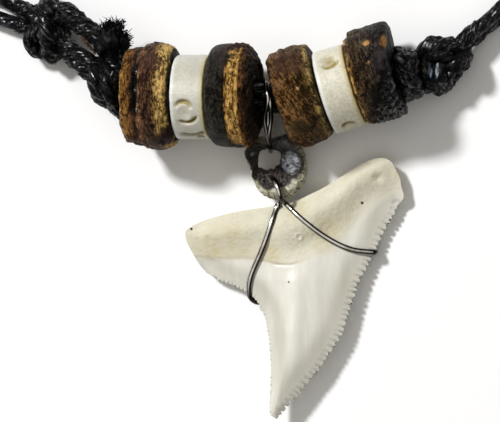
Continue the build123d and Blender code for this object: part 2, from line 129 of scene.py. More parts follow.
# %% Shader helpers
def wire(tree, value, socket):
    """Joins a socket to another, or sets its value."""
    if isinstance(value, bpy.types.NodeSocket):
        tree.links.new(value, socket)
    else:
        socket.default_value = value


def dress(tree, node, **inputs):
    """Joins or sets a node's inputs; an underscore in an input's name stands for a space."""
    for name, value in inputs.items():
        wire(tree, value, node.inputs[name.replace("_", " ")])


def put(tree, kind, **inputs):
    """Adds a node with its inputs."""
    node = tree.nodes.new(kind)
    dress(tree, node, **inputs)
    return node


def maths(tree, operation, first, second):
    """One sum on two numbers."""
    node = tree.nodes.new("ShaderNodeMath")
    node.operation = operation
    wire(tree, first, node.inputs[0])
    wire(tree, second, node.inputs[1])
    return node.outputs[0]


def times(tree, first, second):
    """The product of two numbers."""
    return maths(tree, "MULTIPLY", first, second)


def plus(tree, first, second):
    """The sum of two numbers."""
    return maths(tree, "ADD", first, second)


def vectors(tree, operation, first, second):
    """One sum on two vectors."""
    node = tree.nodes.new("ShaderNodeVectorMath")
    node.operation = operation
    wire(tree, first, node.inputs[0])
    wire(tree, second, node.inputs[1])
    return node.outputs["Value" if operation == "DISTANCE" else "Vector"]


def mix(tree, share, first, second, blend="MIX"):
    """Two colours mixed by a share."""
    node = tree.nodes.new("ShaderNodeMix")
    node.data_type = "RGBA"
    node.blend_type = blend
    wire(tree, share, node.inputs[0])
    wire(tree, first, node.inputs[6])
    wire(tree, second, node.inputs[7])
    return node.outputs[2]


def between(tree, value, low, high, start=0.0, end=1.0):
    """A smooth step of a value from start to end."""
    node = tree.nodes.new("ShaderNodeMapRange")
    node.interpolation_type = "SMOOTHSTEP"
    for socket, number in zip(node.inputs, (value, low, high, start, end)):
        wire(tree, number, socket)
    return node.outputs[0]


def ramp(tree, share, stops):
    """A row of colours along a share from 0 to 1."""
    node = tree.nodes.new("ShaderNodeValToRGB")
    wire(tree, share, node.inputs[0])
    band = node.color_ramp
    while len(band.elements) < len(stops):
        band.elements.new(0.5)
    for element, (place, colour) in zip(band.elements, stops):
        element.position = place
        element.color = colour
    return node.outputs[0]


def noise(tree, place, scale, detail=3.0, roughness=0.55):
    """Cloudy noise from 0 to 1."""
    return put(tree, "ShaderNodeTexNoise", Vector=place, Scale=scale, Detail=detail, Roughness=roughness).outputs[0]


def stretched(tree, place, x, y, z):
    """A place with each of its sides scaled."""
    return vectors(tree, "MULTIPLY", place, (x, y, z))


def world_place(tree):
    """Where a point of the surface is, in metres."""
    return put(tree, "ShaderNodeNewGeometry").outputs["Position"]


def place_in_mm(tree):
    """Where a point of the surface is, in mm."""
    return stretched(tree, world_place(tree), 1000, 1000, 1000)


def kept(tree, name, output="Vector"):
    """A value that the mesh carries."""
    node = tree.nodes.new("ShaderNodeAttribute")
    node.attribute_name = name
    return node.outputs[output]


def new_material(name):
    """An empty material with its shader."""
    material = bpy.data.materials.new(name)
    material.use_nodes = True
    return material, material.node_tree, material.node_tree.nodes["Principled BSDF"]


def bump(tree, shader, height, depth):
    """Raises the surface by a height from 0 to 1 times a depth in mm."""
    node = put(tree, "ShaderNodeBump", Height=height, Distance=depth * MM, Strength=1.0)
    tree.links.new(node.outputs[0], shader.inputs["Normal"])


def node_group(name, inputs, outputs):
    """An effect that several materials share, with its sockets by name."""
    group = bpy.data.node_groups.new(name, "ShaderNodeTree")
    for label, kind, value in inputs:
        group.interface.new_socket(label, in_out="INPUT", socket_type=kind).default_value = value
    for label, kind in outputs:
        group.interface.new_socket(label, in_out="OUTPUT", socket_type=kind)
    return group, group.nodes.new("NodeGroupInput").outputs, group.nodes.new("NodeGroupOutput").inputs


def use(tree, group, **inputs):
    """One use of a shared effect."""
    node = tree.nodes.new("ShaderNodeGroup")
    node.node_tree = group
    dress(tree, node, **inputs)
    return node.outputs


# %% [markdown]
# A pale ceiling fills the shadow, and it darkens towards the walls of the room. That, with the
# painted shade on the wire's flanks, draws the dark lines along the bright wire.

# %% The ceiling
ROOM = sky.node_tree
WALLS, CEILING = (0.04, 0.04, 0.04, 1), (1.0, 0.965, 0.91, 1)
direction = put(ROOM, "ShaderNodeTexCoord").outputs["Generated"]
height = put(ROOM, "ShaderNodeSeparateXYZ", Vector=direction).outputs[2]
shade = mix(ROOM, between(ROOM, height, 0.45, 0.9), WALLS, CEILING)
dress(ROOM, ROOM.nodes["Background"], Color=shade, Strength=0.66)
print("the room's light has", len(ROOM.nodes), "nodes")

# %% [markdown]
# Three effects come up again and again on natural materials: cloudy mottling in two colours,
# small open pores, and one ragged stain at one place. Each is a node group, so every material
# that shows it shares one recipe, and two short helpers give a stain's or the pores' share.

# %% Shared effects: mottle, pores, stain
VECTOR, FLOAT, COLOUR = "NodeSocketVector", "NodeSocketFloat", "NodeSocketColor"
ORIGIN, BLACK, WHITE = (0, 0, 0), (0, 0, 0, 1), (1, 1, 1, 1)

MOTTLE, given, result = node_group(
    "mottle",
    [("Place", VECTOR, ORIGIN), ("Size", FLOAT, 1.0), ("Dark", COLOUR, BLACK), ("Light", COLOUR, WHITE),
     ("Soft", FLOAT, 0.2)],
    [("Color", COLOUR), ("Height", FLOAT)])
cloud = noise(MOTTLE, given["Place"], maths(MOTTLE, "DIVIDE", 1.0, given["Size"]), 5.0, 0.62)
low, high = maths(MOTTLE, "SUBTRACT", 0.5, given["Soft"]), plus(MOTTLE, 0.5, given["Soft"])
share = between(MOTTLE, cloud, low, high)
wire(MOTTLE, mix(MOTTLE, share, given["Dark"], given["Light"]), result["Color"])
wire(MOTTLE, share, result["Height"])

PORES, given, result = node_group(
    "pores",
    [("Place", VECTOR, ORIGIN), ("Spacing", FLOAT, 1.0), ("Width", FLOAT, 0.25), ("Share", FLOAT, 0.5)],
    [("Mask", FLOAT)])
crowding = maths(PORES, "DIVIDE", 1.0, given["Spacing"])
cells = put(PORES, "ShaderNodeTexVoronoi", Vector=given["Place"], Scale=crowding)
open_pore = between(PORES, cells.outputs["Distance"], given["Width"], times(PORES, given["Width"], 0.4))
lucky = put(PORES, "ShaderNodeSeparateColor", Color=cells.outputs["Color"]).outputs[0]
wire(PORES, times(PORES, open_pore, maths(PORES, "LESS_THAN", lucky, given["Share"])), result["Mask"])

STAIN, given, result = node_group(
    "stain",
    [("Place", VECTOR, ORIGIN), ("Centre", VECTOR, ORIGIN), ("Radius", FLOAT, 1.0), ("Ragged", FLOAT, 0.3)],
    [("Mask", FLOAT)])
rough = times(STAIN, maths(STAIN, "SUBTRACT", noise(STAIN, given["Place"], 1.6), 0.5), given["Ragged"])
away = plus(STAIN, vectors(STAIN, "DISTANCE", given["Place"], given["Centre"]), rough)
wire(STAIN, between(STAIN, away, given["Radius"], times(STAIN, given["Radius"], 0.45)), result["Mask"])
print("shared effects:", [group.name for group in bpy.data.node_groups])


def stain(tree, place, centre, radius, ragged):
    """How much of a stain lies on a place."""
    return use(tree, STAIN, Place=place, Centre=centre, Radius=radius, Ragged=ragged)["Mask"]


def pores(tree, place, spacing, width, share):
    """How much of a pore lies on a place; only a share of the pores is open."""
    return use(tree, PORES, Place=place, Spacing=spacing, Width=width, Share=share)["Mask"]

# %% [markdown]
# Every piece is made from points in mm. The helpers make a piece from points, draw smooth lines,
# displace a surface by random lumps, and sweep a section along a strand, step by step.

# %% Mesh helpers
def mesh_piece(name, points, faces, materials, kept_values, slot, *nodes, sharp=60):
    """A piece from points in mm, for the nodes that it replaces; its slot is not used.

    Each kept value is carried on its points for the shader.
    """
    mesh = bpy.data.meshes.new(name)
    mesh.from_pydata((np.asarray(points) * MM).tolist(), [], faces)
    for label, values in kept_values.items():
        values = np.asarray(values, np.float32)
        kind = "FLOAT" if values.ndim == 1 else "FLOAT_VECTOR"
        mesh.attributes.new(label, kind, "POINT").data.foreach_set(
            "value" if values.ndim == 1 else "vector", values.ravel())
    mesh.polygons.foreach_set("use_smooth", [True] * len(mesh.polygons))
    mesh.set_sharp_from_angle(angle=math.radians(sharp))
    for material in materials:
        mesh.materials.append(material)
    piece = bpy.data.objects.new(name, mesh)
    scene.collection.objects.link(piece)
    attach(piece, "root")
    if nodes:
        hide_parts(*nodes)
    print(name, len(points), "points")
    return piece


def walk(line):
    """How far each point of a line is from its start, along the line."""
    return np.concatenate([[0], np.cumsum(np.linalg.norm(np.diff(line, axis=0), axis=1))])


def evenly(line, count):
    """A line again with so many points at even steps."""
    walked = walk(line)
    even = np.linspace(0, walked[-1], count)
    return np.stack([np.interp(even, walked, line[:, k]) for k in range(line.shape[1])], 1)


def quads(rows, columns, closed_rows=False):
    """The faces of a grid whose columns close on themselves."""
    across = np.arange(columns)
    onward = (across + 1) % columns
    faces = []
    for row in range(rows if closed_rows else rows - 1):
        here, there = row * columns, (row + 1) % rows * columns
        faces.append(np.stack([here + across, here + onward, there + onward, there + across], 1))
    return np.concatenate(faces)


def smooth_line(points, step, closed=False):
    """A smooth line that the points steer, as evenly spaced points in mm."""
    curve = bpy.data.curves.new("line", "CURVE")
    curve.dimensions = "3D"
    spline = curve.splines.new("NURBS")
    spline.points.add(len(points) - 1)
    for place, point in zip(spline.points, points):
        place.co = (*[c * MM for c in point], 1)
    spline.order_u = 3
    spline.use_endpoint_u = not closed
    spline.use_cyclic_u = closed
    spline.resolution_u = 48
    holder = bpy.data.objects.new("line", curve)
    scene.collection.objects.link(holder)
    mesh = bpy.data.meshes.new_from_object(holder)
    line = np.array([v.co for v in mesh.vertices]) / MM
    bpy.data.objects.remove(holder)
    bpy.data.meshes.remove(mesh)
    if closed:
        line = np.vstack([line, line[:1]])
    line = evenly(line, max(4, round(walk(line)[-1] / step)) + 1)
    return line[:-1] if closed else line


def through(points, step):
    """A line that passes through every point, evenly spaced."""
    points = np.asarray(points, float)
    padded = np.vstack([2 * points[0] - points[1], points, 2 * points[-1] - points[-2]])
    t = np.linspace(0, 1, 24, endpoint=False)[:, None]
    runs = []
    for a, b, c, d in zip(padded, padded[1:], padded[2:], padded[3:]):
        bend, twist = 2 * a - 5 * b + 4 * c - d, 3 * b - a - 3 * c + d
        runs.append(0.5 * (2 * b + (c - a) * t + bend * t**2 + twist * t**3))
    line = np.vstack([*runs, points[-1:]])
    return evenly(line, max(3, round(walk(line)[-1] / step)) + 1)


def lumps(places, size, seed=0):
    """Smooth random lumps of about one size, from -1 to 1, at places in mm."""
    q = np.asarray(places, float) / size + seed * 17.31
    cell = np.floor(q).astype(np.int64)
    f = q - cell
    f = f * f * (3 - 2 * f)
    total = np.zeros(q.shape[:-1])
    for corner in np.ndindex(*(2,) * q.shape[-1]):
        c = cell + np.array(corner)
        h = np.zeros(c.shape[:-1], np.uint64)
        for k in range(c.shape[-1]):
            h = (h * np.uint64(1000003)) ^ (c[..., k] & 0xFFFFFF).astype(np.uint64)
            h = (h * np.uint64(0x9E3779B1)) & np.uint64(0xFFFFFFFF)
            h ^= h >> np.uint64(15)
        weight = np.prod(np.where(np.array(corner) == 1, f, 1 - f), axis=-1)
        total += weight * (h.astype(float) / 2**31 - 1)
    return total


def rough_lumps(places, size, octaves=3, seed=0):
    """Lumps with finer ones on them."""
    return sum(lumps(places, size / 2**k, seed + k) * 0.55**k for k in range(octaves))


def turning_frames(line, closed=False):
    """Two directions across a line at each of its points, turned as little as possible."""
    if closed:
        ahead = np.roll(line, -1, 0) - np.roll(line, 1, 0)
    else:
        ahead = np.gradient(line, axis=0)
    ahead /= np.linalg.norm(ahead, axis=1)[:, None]
    side = np.cross(ahead[0], (0, 0, 1.0))
    side /= np.linalg.norm(side)
    sides = [side]
    for direction in ahead[1:]:
        side = side - direction * side.dot(direction)
        side = side / np.linalg.norm(side)
        sides.append(side)
    sides = np.array(sides)
    return ahead, sides, np.cross(sides, ahead)


def sweep(line, radius_at, around, closed=False, twist=1e9):
    """Points, faces and kept values of a tube; radius_at(along, angle) gives its section.

    The kept values are the way along, the way round as seen by a ply that turns once in twist mm,
    and the radius.
    """
    ahead, sides, ups = turning_frames(line, closed)
    along = walk(line)
    angle = np.linspace(0, 2 * math.pi, around, endpoint=False)
    along2, angle2 = np.meshgrid(along, angle, indexing="ij")
    radius = radius_at(along2, angle2)
    points = line[:, None] + radius[..., None] * (
        np.cos(angle2)[..., None] * sides[:, None] + np.sin(angle2)[..., None] * ups[:, None])
    faces = quads(len(line), around, closed).tolist()
    strand = np.stack([along2, angle2 - along2 * 2 * math.pi / twist, radius], -1).reshape(-1, 3)
    points = points.reshape(-1, 3)
    if not closed:
        last = len(points)
        points = np.vstack([points, line[:1] - ahead[:1] * 0.1, line[-1:] + ahead[-1:] * 0.1])
        strand = np.vstack([strand, strand[:1], strand[-1:]])
        ring = np.arange(around)
        start = [[last, int(b), int(a)] for a, b in zip(ring, np.roll(ring, -1))]
        first = last - around
        end = [[last + 1, int(a) + first, int(b) + first] for a, b in zip(ring, np.roll(ring, -1))]
        faces = faces + start + end
    return points, faces, strand


def together(parts):
    """Several swept bodies as one."""
    points, faces, strands, count = [], [], [], 0
    for part_points, part_faces, strand in parts:
        points.append(part_points)
        faces += [[index + count for index in face] for face in part_faces]
        strands.append(strand)
        count += len(part_points)
    return np.vstack(points), faces, np.vstack(strands)


def strand_piece(name, body, materials, slot, *nodes, lowest=0.01):
    """A piece from swept bodies, kept off the surface."""
    points, faces, strand = body
    points[:, 2] = np.maximum(points[:, 2], lowest)
    return mesh_piece(name, points, faces, materials, {"strand": strand}, slot, *nodes)


# %% [markdown]
# ## The waxed cord
#
# Waxed cotton cord is three plies twisted slowly together, pressed flat where it was knotted.
# The wax fills the twist, so each ply shows as a long dark valley with a soft glint beside it,
# and lint stands off it. The black is a little blue, and rubbed wax turns it grey. Two pale
# streaks are painted side by side on the right knot: painted highlights where its wax catches the light.

# %% Cord material
CORD_DIAMETER = 1.5
WAXED, RAISED = 1.04, 1.08  # how much wax and lint thicken a strand: in knots and beads, and round the neck
# Painted highlights: two pale streaks on the right knot, where its smooth wax catches the light.
PAINTED_KNOT_GLINTS = [  # place in the photo, radius, squeeze along the cord, strength, colour
    ((432, 71), 0.24, 0.2, 0.7, paint(160, 174, 188)),
    ((439, 69), 0.2, 0.22, 0.75, paint(176, 190, 204))]

waxed_cord, tree, shader = new_material("waxed_cord")
strand = kept(tree, "strand")
lint = noise(tree, stretched(tree, strand, 1.3, 5.0, 1.0), 1.0, 4.0, 0.6)
streak = noise(tree, stretched(tree, strand, 0.9, 3.4, 1.0), 1.0, 4.0, 0.65)
wax = noise(tree, world_place(tree), 900.0, 3.0)
crumbs = noise(tree, world_place(tree), 3000.0, 3.0, 0.6)
colour = mix(tree, between(tree, wax, 0.56, 0.74), paint(4, 4, 6), paint(30, 33, 41))
colour = mix(tree, between(tree, lint, 0.62, 0.8), colour, paint(64, 70, 84))
for (px, py), radius, squeeze, strength, glint_colour in PAINTED_KNOT_GLINTS:
    x, y, _ = seen(px, py, 3.5)
    knot_glint_mask = stain(tree, stretched(tree, place_in_mm(tree), 1, squeeze, 0), (x, y * squeeze, 0), radius, 0.7)
    colour = mix(tree, times(tree, knot_glint_mask, between(tree, lint, 0.4, 0.55, 0.25, strength)), colour, glint_colour)
glint = plus(tree, times(tree, streak, 0.6), times(tree, crumbs, 0.4))
dress(tree, shader, Base_Color=colour, Roughness=0.4, Specular_IOR_Level=0.07, Coat_Roughness=0.32, Coat_IOR=1.62,
      Coat_Weight=between(tree, glint, 0.49, 0.57, 0.03, 1.0))
bump(tree, shader, plus(tree, lint, plus(tree, times(tree, wax, 0.8), times(tree, crumbs, 0.5))), 0.36)


def cord_body(line, diameter, seed, valley, twist, dent, around=28, closed=False):
    """A twisted cord along a line: three plies of two yarns that turn once in twist mm.

    The valleys between the plies and the dents from handling are shares of the radius.
    """
    def radius_at(along, angle):
        turned = angle - along * 2 * math.pi / twist + seed
        ply = np.abs(np.cos(1.5 * turned)) ** 0.6
        yarn = np.abs(np.cos(3 * turned + 0.5)) ** 0.7
        dents = rough_lumps(np.stack([along * 0.9, np.cos(angle), np.sin(angle)], -1), 0.75, 4, seed)
        return diameter / 2 * (1.0 - 1.05 * valley + valley * ply + 0.55 * valley * yarn + dent * dents)
    return sweep(line, radius_at, around, closed, twist)


NECK_ROUTES = {
    "neck_cord_left_a": [
        (-25.8, 23.42, 2.61), (-28.9, 25.0, 1.5), (-33.8, 27.2, 0.79), (-44.2, 32.9, 0.79), (-60.4, 51.0, 0.79),
        (-68.9, 74.0, 0.79), (-67.9, 98.4, 0.79), (-59.4, 121.4, 0.79), (-44.6, 140.2, 0.79), (-24.6, 152.8, 0.79),
        (-13.6, 156.5, 1.69), (-6.2, 157.2, 2.4)],
    "neck_cord_left_b": [
        (-26.54, 21.62, 2.22), (-33.8, 24.0, 0.79), (-45.6, 31.1, 0.79), (-62.4, 49.8, 0.79), (-71.3, 73.5, 0.79),
        (-70.3, 99.2, 0.79), (-61.3, 122.9, 0.79), (-45.9, 142.2, 0.79), (-25.0, 155.1, 0.79), (-13.7, 158.3, 1.69),
        (-6.2, 158.8, 2.4)],
    "neck_cord_right_a": [
        (26.38, 20.03, 1.78), (31.8, 24.4, 0.79), (43.8, 34.6, 0.79), (58.4, 51.2, 0.79), (68.2, 72.6, 0.79),
        (70.4, 96.4, 0.79), (63.6, 119.6, 0.79), (49.6, 138.4, 0.79), (29.6, 152.2, 0.79), (17.0, 157.7, 1.69),
        (8.2, 158.8, 2.4)],
    "neck_cord_right_b": [
        (26.39, 20.55, 3.32), (31.6, 24.7, 2.2), (42.2, 36.3, 0.79), (56.5, 52.5, 0.79), (66.0, 73.2, 0.79),
        (68.1, 96.2, 0.79), (61.5, 118.5, 0.79), (48.0, 136.8, 0.79), (28.6, 149.9, 0.79), (16.6, 155.8, 1.69),
        (8.2, 157.2, 2.4)],
}
cord_lines = []  # each cord's line, radius and how thickly hairs stand on it
for number, (node, route) in enumerate(NECK_ROUTES.items()):
    line = smooth_line(route, 0.34)
    cord_lines.append((line, CORD_DIAMETER / 2, 1.0))
    body = cord_body(line, CORD_DIAMETER * RAISED, seed=number, valley=0.2, twist=15.0, dent=0.13, around=30)
    piece = strand_piece(node.replace("cord", "strand"), body, [waxed_cord], "waxed_cord", node)

# %% [markdown]
# ## The knots
#
# Each knot is cord again. A knot is built as loops of the same cord: the half that shows follows
# the photo, place by place, and it closes underneath. A few inner turns fill its middle.

# %% Knots
def knot_loop(shown, underneath):
    """A closed loop: the shown half from the photo, and the same way back below."""
    top = [seen(*place) for place in shown]
    below = [(0.8 * p + 0.2 * np.mean(top, 0)) * (1, 1, 0) + (0, 0, underneath) for p in reversed(top[1:-1])]
    return [*top, *below]


LOOP_TWIST, STRAND_TWIST, KNOT_STEP = 5.4, 6.5, 0.24


def knot_piece(name, nodes, loops, strands, underneath=0.95):
    """A knot from closed loops and open strands, each with its thickness in mm.

    A strand is places in the photo with their heights. The loops close at the height underneath.
    """
    parts = []

    def add(thick, seed, twist, route, closed):
        line = smooth_line(route, KNOT_STEP, closed)
        cord_lines.append((line, thick / 2, 1.5))
        parts.append(cord_body(line, thick * WAXED, seed, 0.28, twist, dent=0.2, around=40, closed=closed))

    for number, (thick, shown) in enumerate(loops):
        add(thick, number + 3, LOOP_TWIST, knot_loop(shown, underneath), True)
    for number, (thick, shown) in enumerate(strands):
        add(thick, number + 8, STRAND_TWIST, [seen(*place) for place in shown], False)
    strand_piece(name, together(parts), [waxed_cord], "waxed_cord", *nodes, lowest=0.02)


knot_piece("knot_left_outer_loops", ["knot_left_outer"], [
    (2.1, [(50, 0, 2.0), (47, 7, 4.3), (47, 20, 5.0), (48, 36, 4.9), (50, 49, 3.8), (53, 58, 2.0)]),
    (1.5, [(61, 8, 2.0), (60, 16, 3.6), (59, 30, 4.2), (60, 42, 3.8), (62, 50, 2.0)]),
    (1.7, [(43, 26, 3.0), (36, 31, 3.6), (30, 38, 3.3), (31, 48, 2.7), (43, 53, 2.0)]),
    (1.5, [(40, 8, 1.6), (38, 16, 3.2), (39, 26, 3.6), (41, 38, 2.4)]),
], [
    (1.62, [(20, 7.5, 2.2), (29.8, 11.9, 2.61), (40, 17, 3.0), (56, 22, 3.0), (66, 24, 3.4)]),
    (1.62, [(14, 22.5, 1.8), (24, 27.2, 2.22), (38, 33, 2.6), (54, 38, 3.0), (66, 43, 3.6), (72, 47, 3.9)]),
    (1.7, [(48, 16, 3.0), (56, 11, 4.2), (66, 9.5, 5.0), (76, 16, 5.6), (84, 24, 5.6), (92, 31, 5.6)]),
])
knot_piece("knot_left_inner_loops", ["knot_left_inner", "bridge_cord_upper", "bridge_cord_lower"], [
    (1.8, [(104, 62, 5.0), (97, 70, 6.9), (94, 82, 7.4), (99, 94, 6.8), (110, 103, 5.0)]),
    (1.7, [(112, 60, 5.0), (106, 73, 7.4), (105, 85, 8.0), (110, 97, 7.2), (118, 107, 5.0)]),
    (1.5, [(119, 66, 5.0), (114, 78, 6.9), (114, 90, 7.2), (119, 103, 5.2)]),
], [
    (1.55, [(58, 38, 4.0), (67, 46, 4.6), (79, 53, 5.4), (90, 62, 6.0), (101, 72, 6.4)]),
    (1.55, [(60, 46, 3.4), (68, 55, 4.0), (80, 66, 4.8), (90, 75, 5.4), (101, 84, 5.8)]),
    (1.5, [(96, 80, 5.6), (108, 86, 5.6), (122, 90, 5.9)]),
    (1.5, [(100, 92, 6.4), (108, 84, 7.6), (117, 74, 7.6)]),
    (1.2, [(104, 98, 5.8), (112, 106, 5.6), (121, 114, 5.6)]),
    (1.0, [(110, 104, 5.2), (115, 111, 5.2), (122, 117, 5.4)]),
    (1.3, [(108, 62, 6.2), (114, 66, 6.8), (121, 72, 6.6)]),
], underneath=4.0)
knot_piece("knot_right_inner_loops", ["knot_right_inner"], [
    (1.8, [(401, 51, 3.6), (399, 61, 6.4), (401, 76, 7.4), (406, 88, 6.6), (410, 95, 4.2)]),
    (1.7, [(412, 53, 3.6), (409, 62, 6.0), (411, 75, 7.0), (415, 86, 6.0), (418, 92, 4.0)]),
    (1.4, [(396, 56, 4.6), (394, 72, 6.6), (398, 90, 5.2)]),
], [
    (1.5, [(388, 78, 5.6), (402, 74, 5.4), (418, 70, 4.6), (430, 68, 3.6)]),
    (1.5, [(390, 90, 5.2), (404, 88, 4.8), (418, 84, 4.0), (430, 80, 3.0)]),
    (1.3, [(398, 88, 6.2), (405, 72, 7.6), (413, 58, 6.6)]),
    (1.2, [(400, 68, 7.4), (408, 80, 7.6), (416, 90, 5.6)]),
], underneath=3.6)
knot_piece("knot_right_outer_loops", ["knot_right_outer"], [
    (1.8, [(466, 58, 2.2), (459, 49, 3.6), (446, 44.5, 4.4), (430, 45.5, 4.5), (422, 53, 3.8), (424, 64, 2.4)]),
    (1.5, [(459, 65, 2.4), (450, 57, 4.4), (440, 53, 5.1), (430, 57, 4.8), (424, 66, 3.0)]),
    (1.9, [(432, 54, 2.6), (427, 64, 4.2), (425, 76, 4.3), (427, 88, 2.2)]),
    (1.9, [(443, 60, 3.0), (439, 70, 4.7), (438, 81, 4.4), (440, 89, 2.2)]),
    (1.8, [(464, 52, 2.6), (463, 59, 4.0), (457, 64, 4.4), (449, 68, 3.6), (443, 72, 2.6)]),
    (1.6, [(457, 64, 2.6), (453, 72, 3.8), (447, 79, 3.4), (442, 87, 2.0)]),
    (1.2, [(418, 84, 3.0), (428, 86, 3.6), (440, 90, 2.6)]),
], [
    (1.62, [(438, 60, 3.0), (455, 48, 3.6), (468.2, 36.3, 3.32), (480, 26, 3.0)]),
    (1.62, [(446, 64, 2.2), (458, 54, 2.2), (469.9, 40.7, 1.78), (482, 31, 1.5)]),
])

# %% [markdown]
# The two strands that run through the beads show between the middle beads and at both ends.
# They follow the rows one above the other, and turn side by side where the bail holds them.

# %% Rows of beads and the cord inside them
class Row:
    """A straight row with its own directions: along it, across it and up."""

    def __init__(self, start, yaw, rise):
        turn, lift = math.radians(yaw), math.radians(rise)
        self.start = np.array(start)
        self.along = np.array([math.cos(turn) * math.cos(lift), math.sin(turn) * math.cos(lift), math.sin(lift)])
        self.up = np.array([-math.cos(turn) * math.sin(lift), -math.sin(turn) * math.sin(lift), math.cos(lift)])
        self.across = np.cross(self.up, self.along)

    def place(self, local):
        """Points given as along, across and up of the row, in the necklace's own frame."""
        local = np.asarray(local, float)
        return self.start + local @ np.array([self.along, self.across, self.up])

    def seen_on(self, px, py, radius):
        """Where the camera's line through a place in the photo meets the row's round surface."""
        axes = np.array([self.along, self.across, self.up])
        eye, ray = axes @ (EYE - self.start), axes @ sight(px, py)
        a, b = (ray[1:] ** 2).sum(), 2 * (eye[1:] * ray[1:]).sum()
        c = (eye[1:] ** 2).sum() - radius**2
        t = (-b - math.sqrt(max(b * b - 4 * a * c, 0))) / (2 * a)
        return tuple(eye + ray * t)


left_row = Row((-13.70, 13.45, 6.13), yaw=0.3, rise=4)
right_row = Row((4.45, 12.75, 6.22), yaw=16.6, rise=-1)
LEFT_LENGTH, RIGHT_LENGTH = 15.22, 13.79
parts = []
for level in (0.8, -0.8):
    aside, low = level * 0.98, level * 0.4
    route = [left_row.place(p) for p in [
        (-0.3, 0, level), (8, 0, level), (LEFT_LENGTH - 2, aside, low), (LEFT_LENGTH, aside, low)]]
    route += [right_row.place(p) for p in [
        (0, aside, low), (2, aside, low), (7, 0, level), (RIGHT_LENGTH + 0.3, 0, level)]]
    parts.append(cord_body(smooth_line(route, 0.3), CORD_DIAMETER * WAXED, level, valley=0.22, twist=14.0, dent=0.12))
strand_piece("cord_through_beads", together(parts), [waxed_cord], "waxed_cord", "bead_cord_upper", "bead_cord_lower")

# %% [markdown]
# ## The coconut beads
#
# Coconut shell is turned on a lathe, so its marks run round the bead: brown fibres, black ends,
# pores that the tool tore open. Each bead was cut from another part of the shell, so each gets
# its own bands of colour, its own wall and its own damage.

# %% Coconut shell
def bell(value, middle, width):
    """1 at the middle, falling softly to 0 a width away."""
    return np.exp(-(((value - middle) / width) ** 2))


def step_up(value, low, high):
    """0 below low, 1 above high, smooth between."""
    t = np.clip((value - low) / (high - low), 0, 1)
    return t * t * (3 - 2 * t)


def local_on(row, start, px, py, radius):
    """A place in the photo on a bead, in the bead's own frame."""
    along, across, up = row.seen_on(px, py, radius)
    return (along - start, across, up)


def coco_material(name, length, bands, row, start, skin, stains_and_sheen, slant=0.0, wobble=0.5, contrast=0.22, polish=0.38,
                  specks=0.3):
    """Coconut shell with bands of colour from one end of the bead to the other.

    A band is its share of the length, red, green and blue. A stain, or a painted sheen, is its place
    in the photo, its radius, how ragged it is and its colour, and it lies on the bead's skin, at that
    radius of the row.
    """
    material, tree, shader = new_material(name)
    place = kept(tree, "on_bead")
    sides = put(tree, "ShaderNodeSeparateXYZ", Vector=place).outputs
    drift = times(tree, maths(tree, "SUBTRACT", noise(tree, place, 0.7, 5.0, 0.7), 0.5), wobble)
    share = maths(tree, "DIVIDE", plus(tree, sides[0], drift), length)
    base = ramp(tree, share, [(stop, paint(*rgb)) for stop, *rgb in bands])

    # fibres run round the bead, a little aslant
    station = plus(tree, sides[0], times(tree, sides[1], slant))
    turned = put(tree, "ShaderNodeCombineXYZ", X=station, Y=sides[1], Z=sides[2]).outputs[0]
    streaks = noise(tree, stretched(tree, turned, 4.2, 1.0, 1.0), 1.0, 6.0, 0.72)
    flecks = noise(tree, stretched(tree, turned, 5.5, 3.0, 3.0), 1.0, 5.0, 0.74)
    patches = noise(tree, place, 0.8, 4.0, 0.6)
    shade = plus(tree, times(tree, streaks, 0.4), times(tree, flecks, 0.35))
    shade = plus(tree, shade, times(tree, patches, 0.25))
    tone = between(tree, shade, 0.5 - contrast * 0.25, 0.5 + contrast * 0.25)
    dark = mix(tree, 1.0, base, (0.18, 0.155, 0.14, 1), "MULTIPLY")
    light = mix(tree, 1.0, base, (2.35, 2.4, 2.4, 1), "MULTIPLY")
    light = mix(tree, 0.8, light, paint(218, 180, 116), "DARKEN")
    colour = mix(tree, between(tree, tone, 0.1, 0.5), dark, base)
    colour = mix(tree, between(tree, tone, 0.6, 0.95), colour, light)

    # pale flecks, open pores, stains, a painted sheen on one bead, and pale specks: dust and painted glints
    fleck = pores(tree, stretched(tree, turned, 1.5, 1.0, 1.0), 0.24, 0.32, 0.26)
    colour = mix(tree, times(tree, fleck, 0.75), colour, mix(tree, 1.0, base, (3.0, 3.4, 4.0, 1), "MULTIPLY"))
    torn = pores(tree, stretched(tree, turned, 1.6, 1.0, 1.0), 0.4, 0.24, 0.35)
    colour = mix(tree, times(tree, torn, 0.75), colour, paint(16, 12, 10))
    uneven = mix(tree, tone, (0.55, 0.5, 0.46, 1), (1.5, 1.42, 1.3, 1))
    for px, py, radius, ragged, rgb in stains_and_sheen:
        mask = stain(tree, place, local_on(row, start, px, py, skin), radius, ragged)
        colour = mix(tree, mask, colour, mix(tree, 1.0, paint(*rgb), uneven, "MULTIPLY"))
    # Pale specks: dust, and painted glints on the polished shell.
    dust = pores(tree, vectors(tree, "ADD", place, (5.3, 2.1, 7.7)), 0.42, 0.16, 0.12)
    colour = mix(tree, times(tree, dust, specks), colour, paint(178, 160, 130))
    # Hollows are painted near black: painted shade in the groove, the holes and round the bore. Cracks get the same
    # dark colour, and on the last bead it covers the dark lower right side.
    pit = kept(tree, "pit", "Fac")
    dress(tree, shader, Base_Color=mix(tree, pit, colour, paint(10, 8, 7)), Specular_IOR_Level=0.08,
          Roughness=between(tree, shade, 0.35, 0.65, polish + 0.16, polish), Coat_Roughness=0.14,
          Coat_Weight=between(tree, times(tree, pit, flecks), 0.36, 0.5, 0.0, 1.0))
    bump(tree, shader, maths(tree, "SUBTRACT", plus(tree, streaks, flecks), torn), 0.42)
    return material


CORD_HOLE = 1.8  # radius of the hole that is drilled for the doubled cord
FACE_ROWS, BORE_ROWS, DISH = 14, 9, 0.15


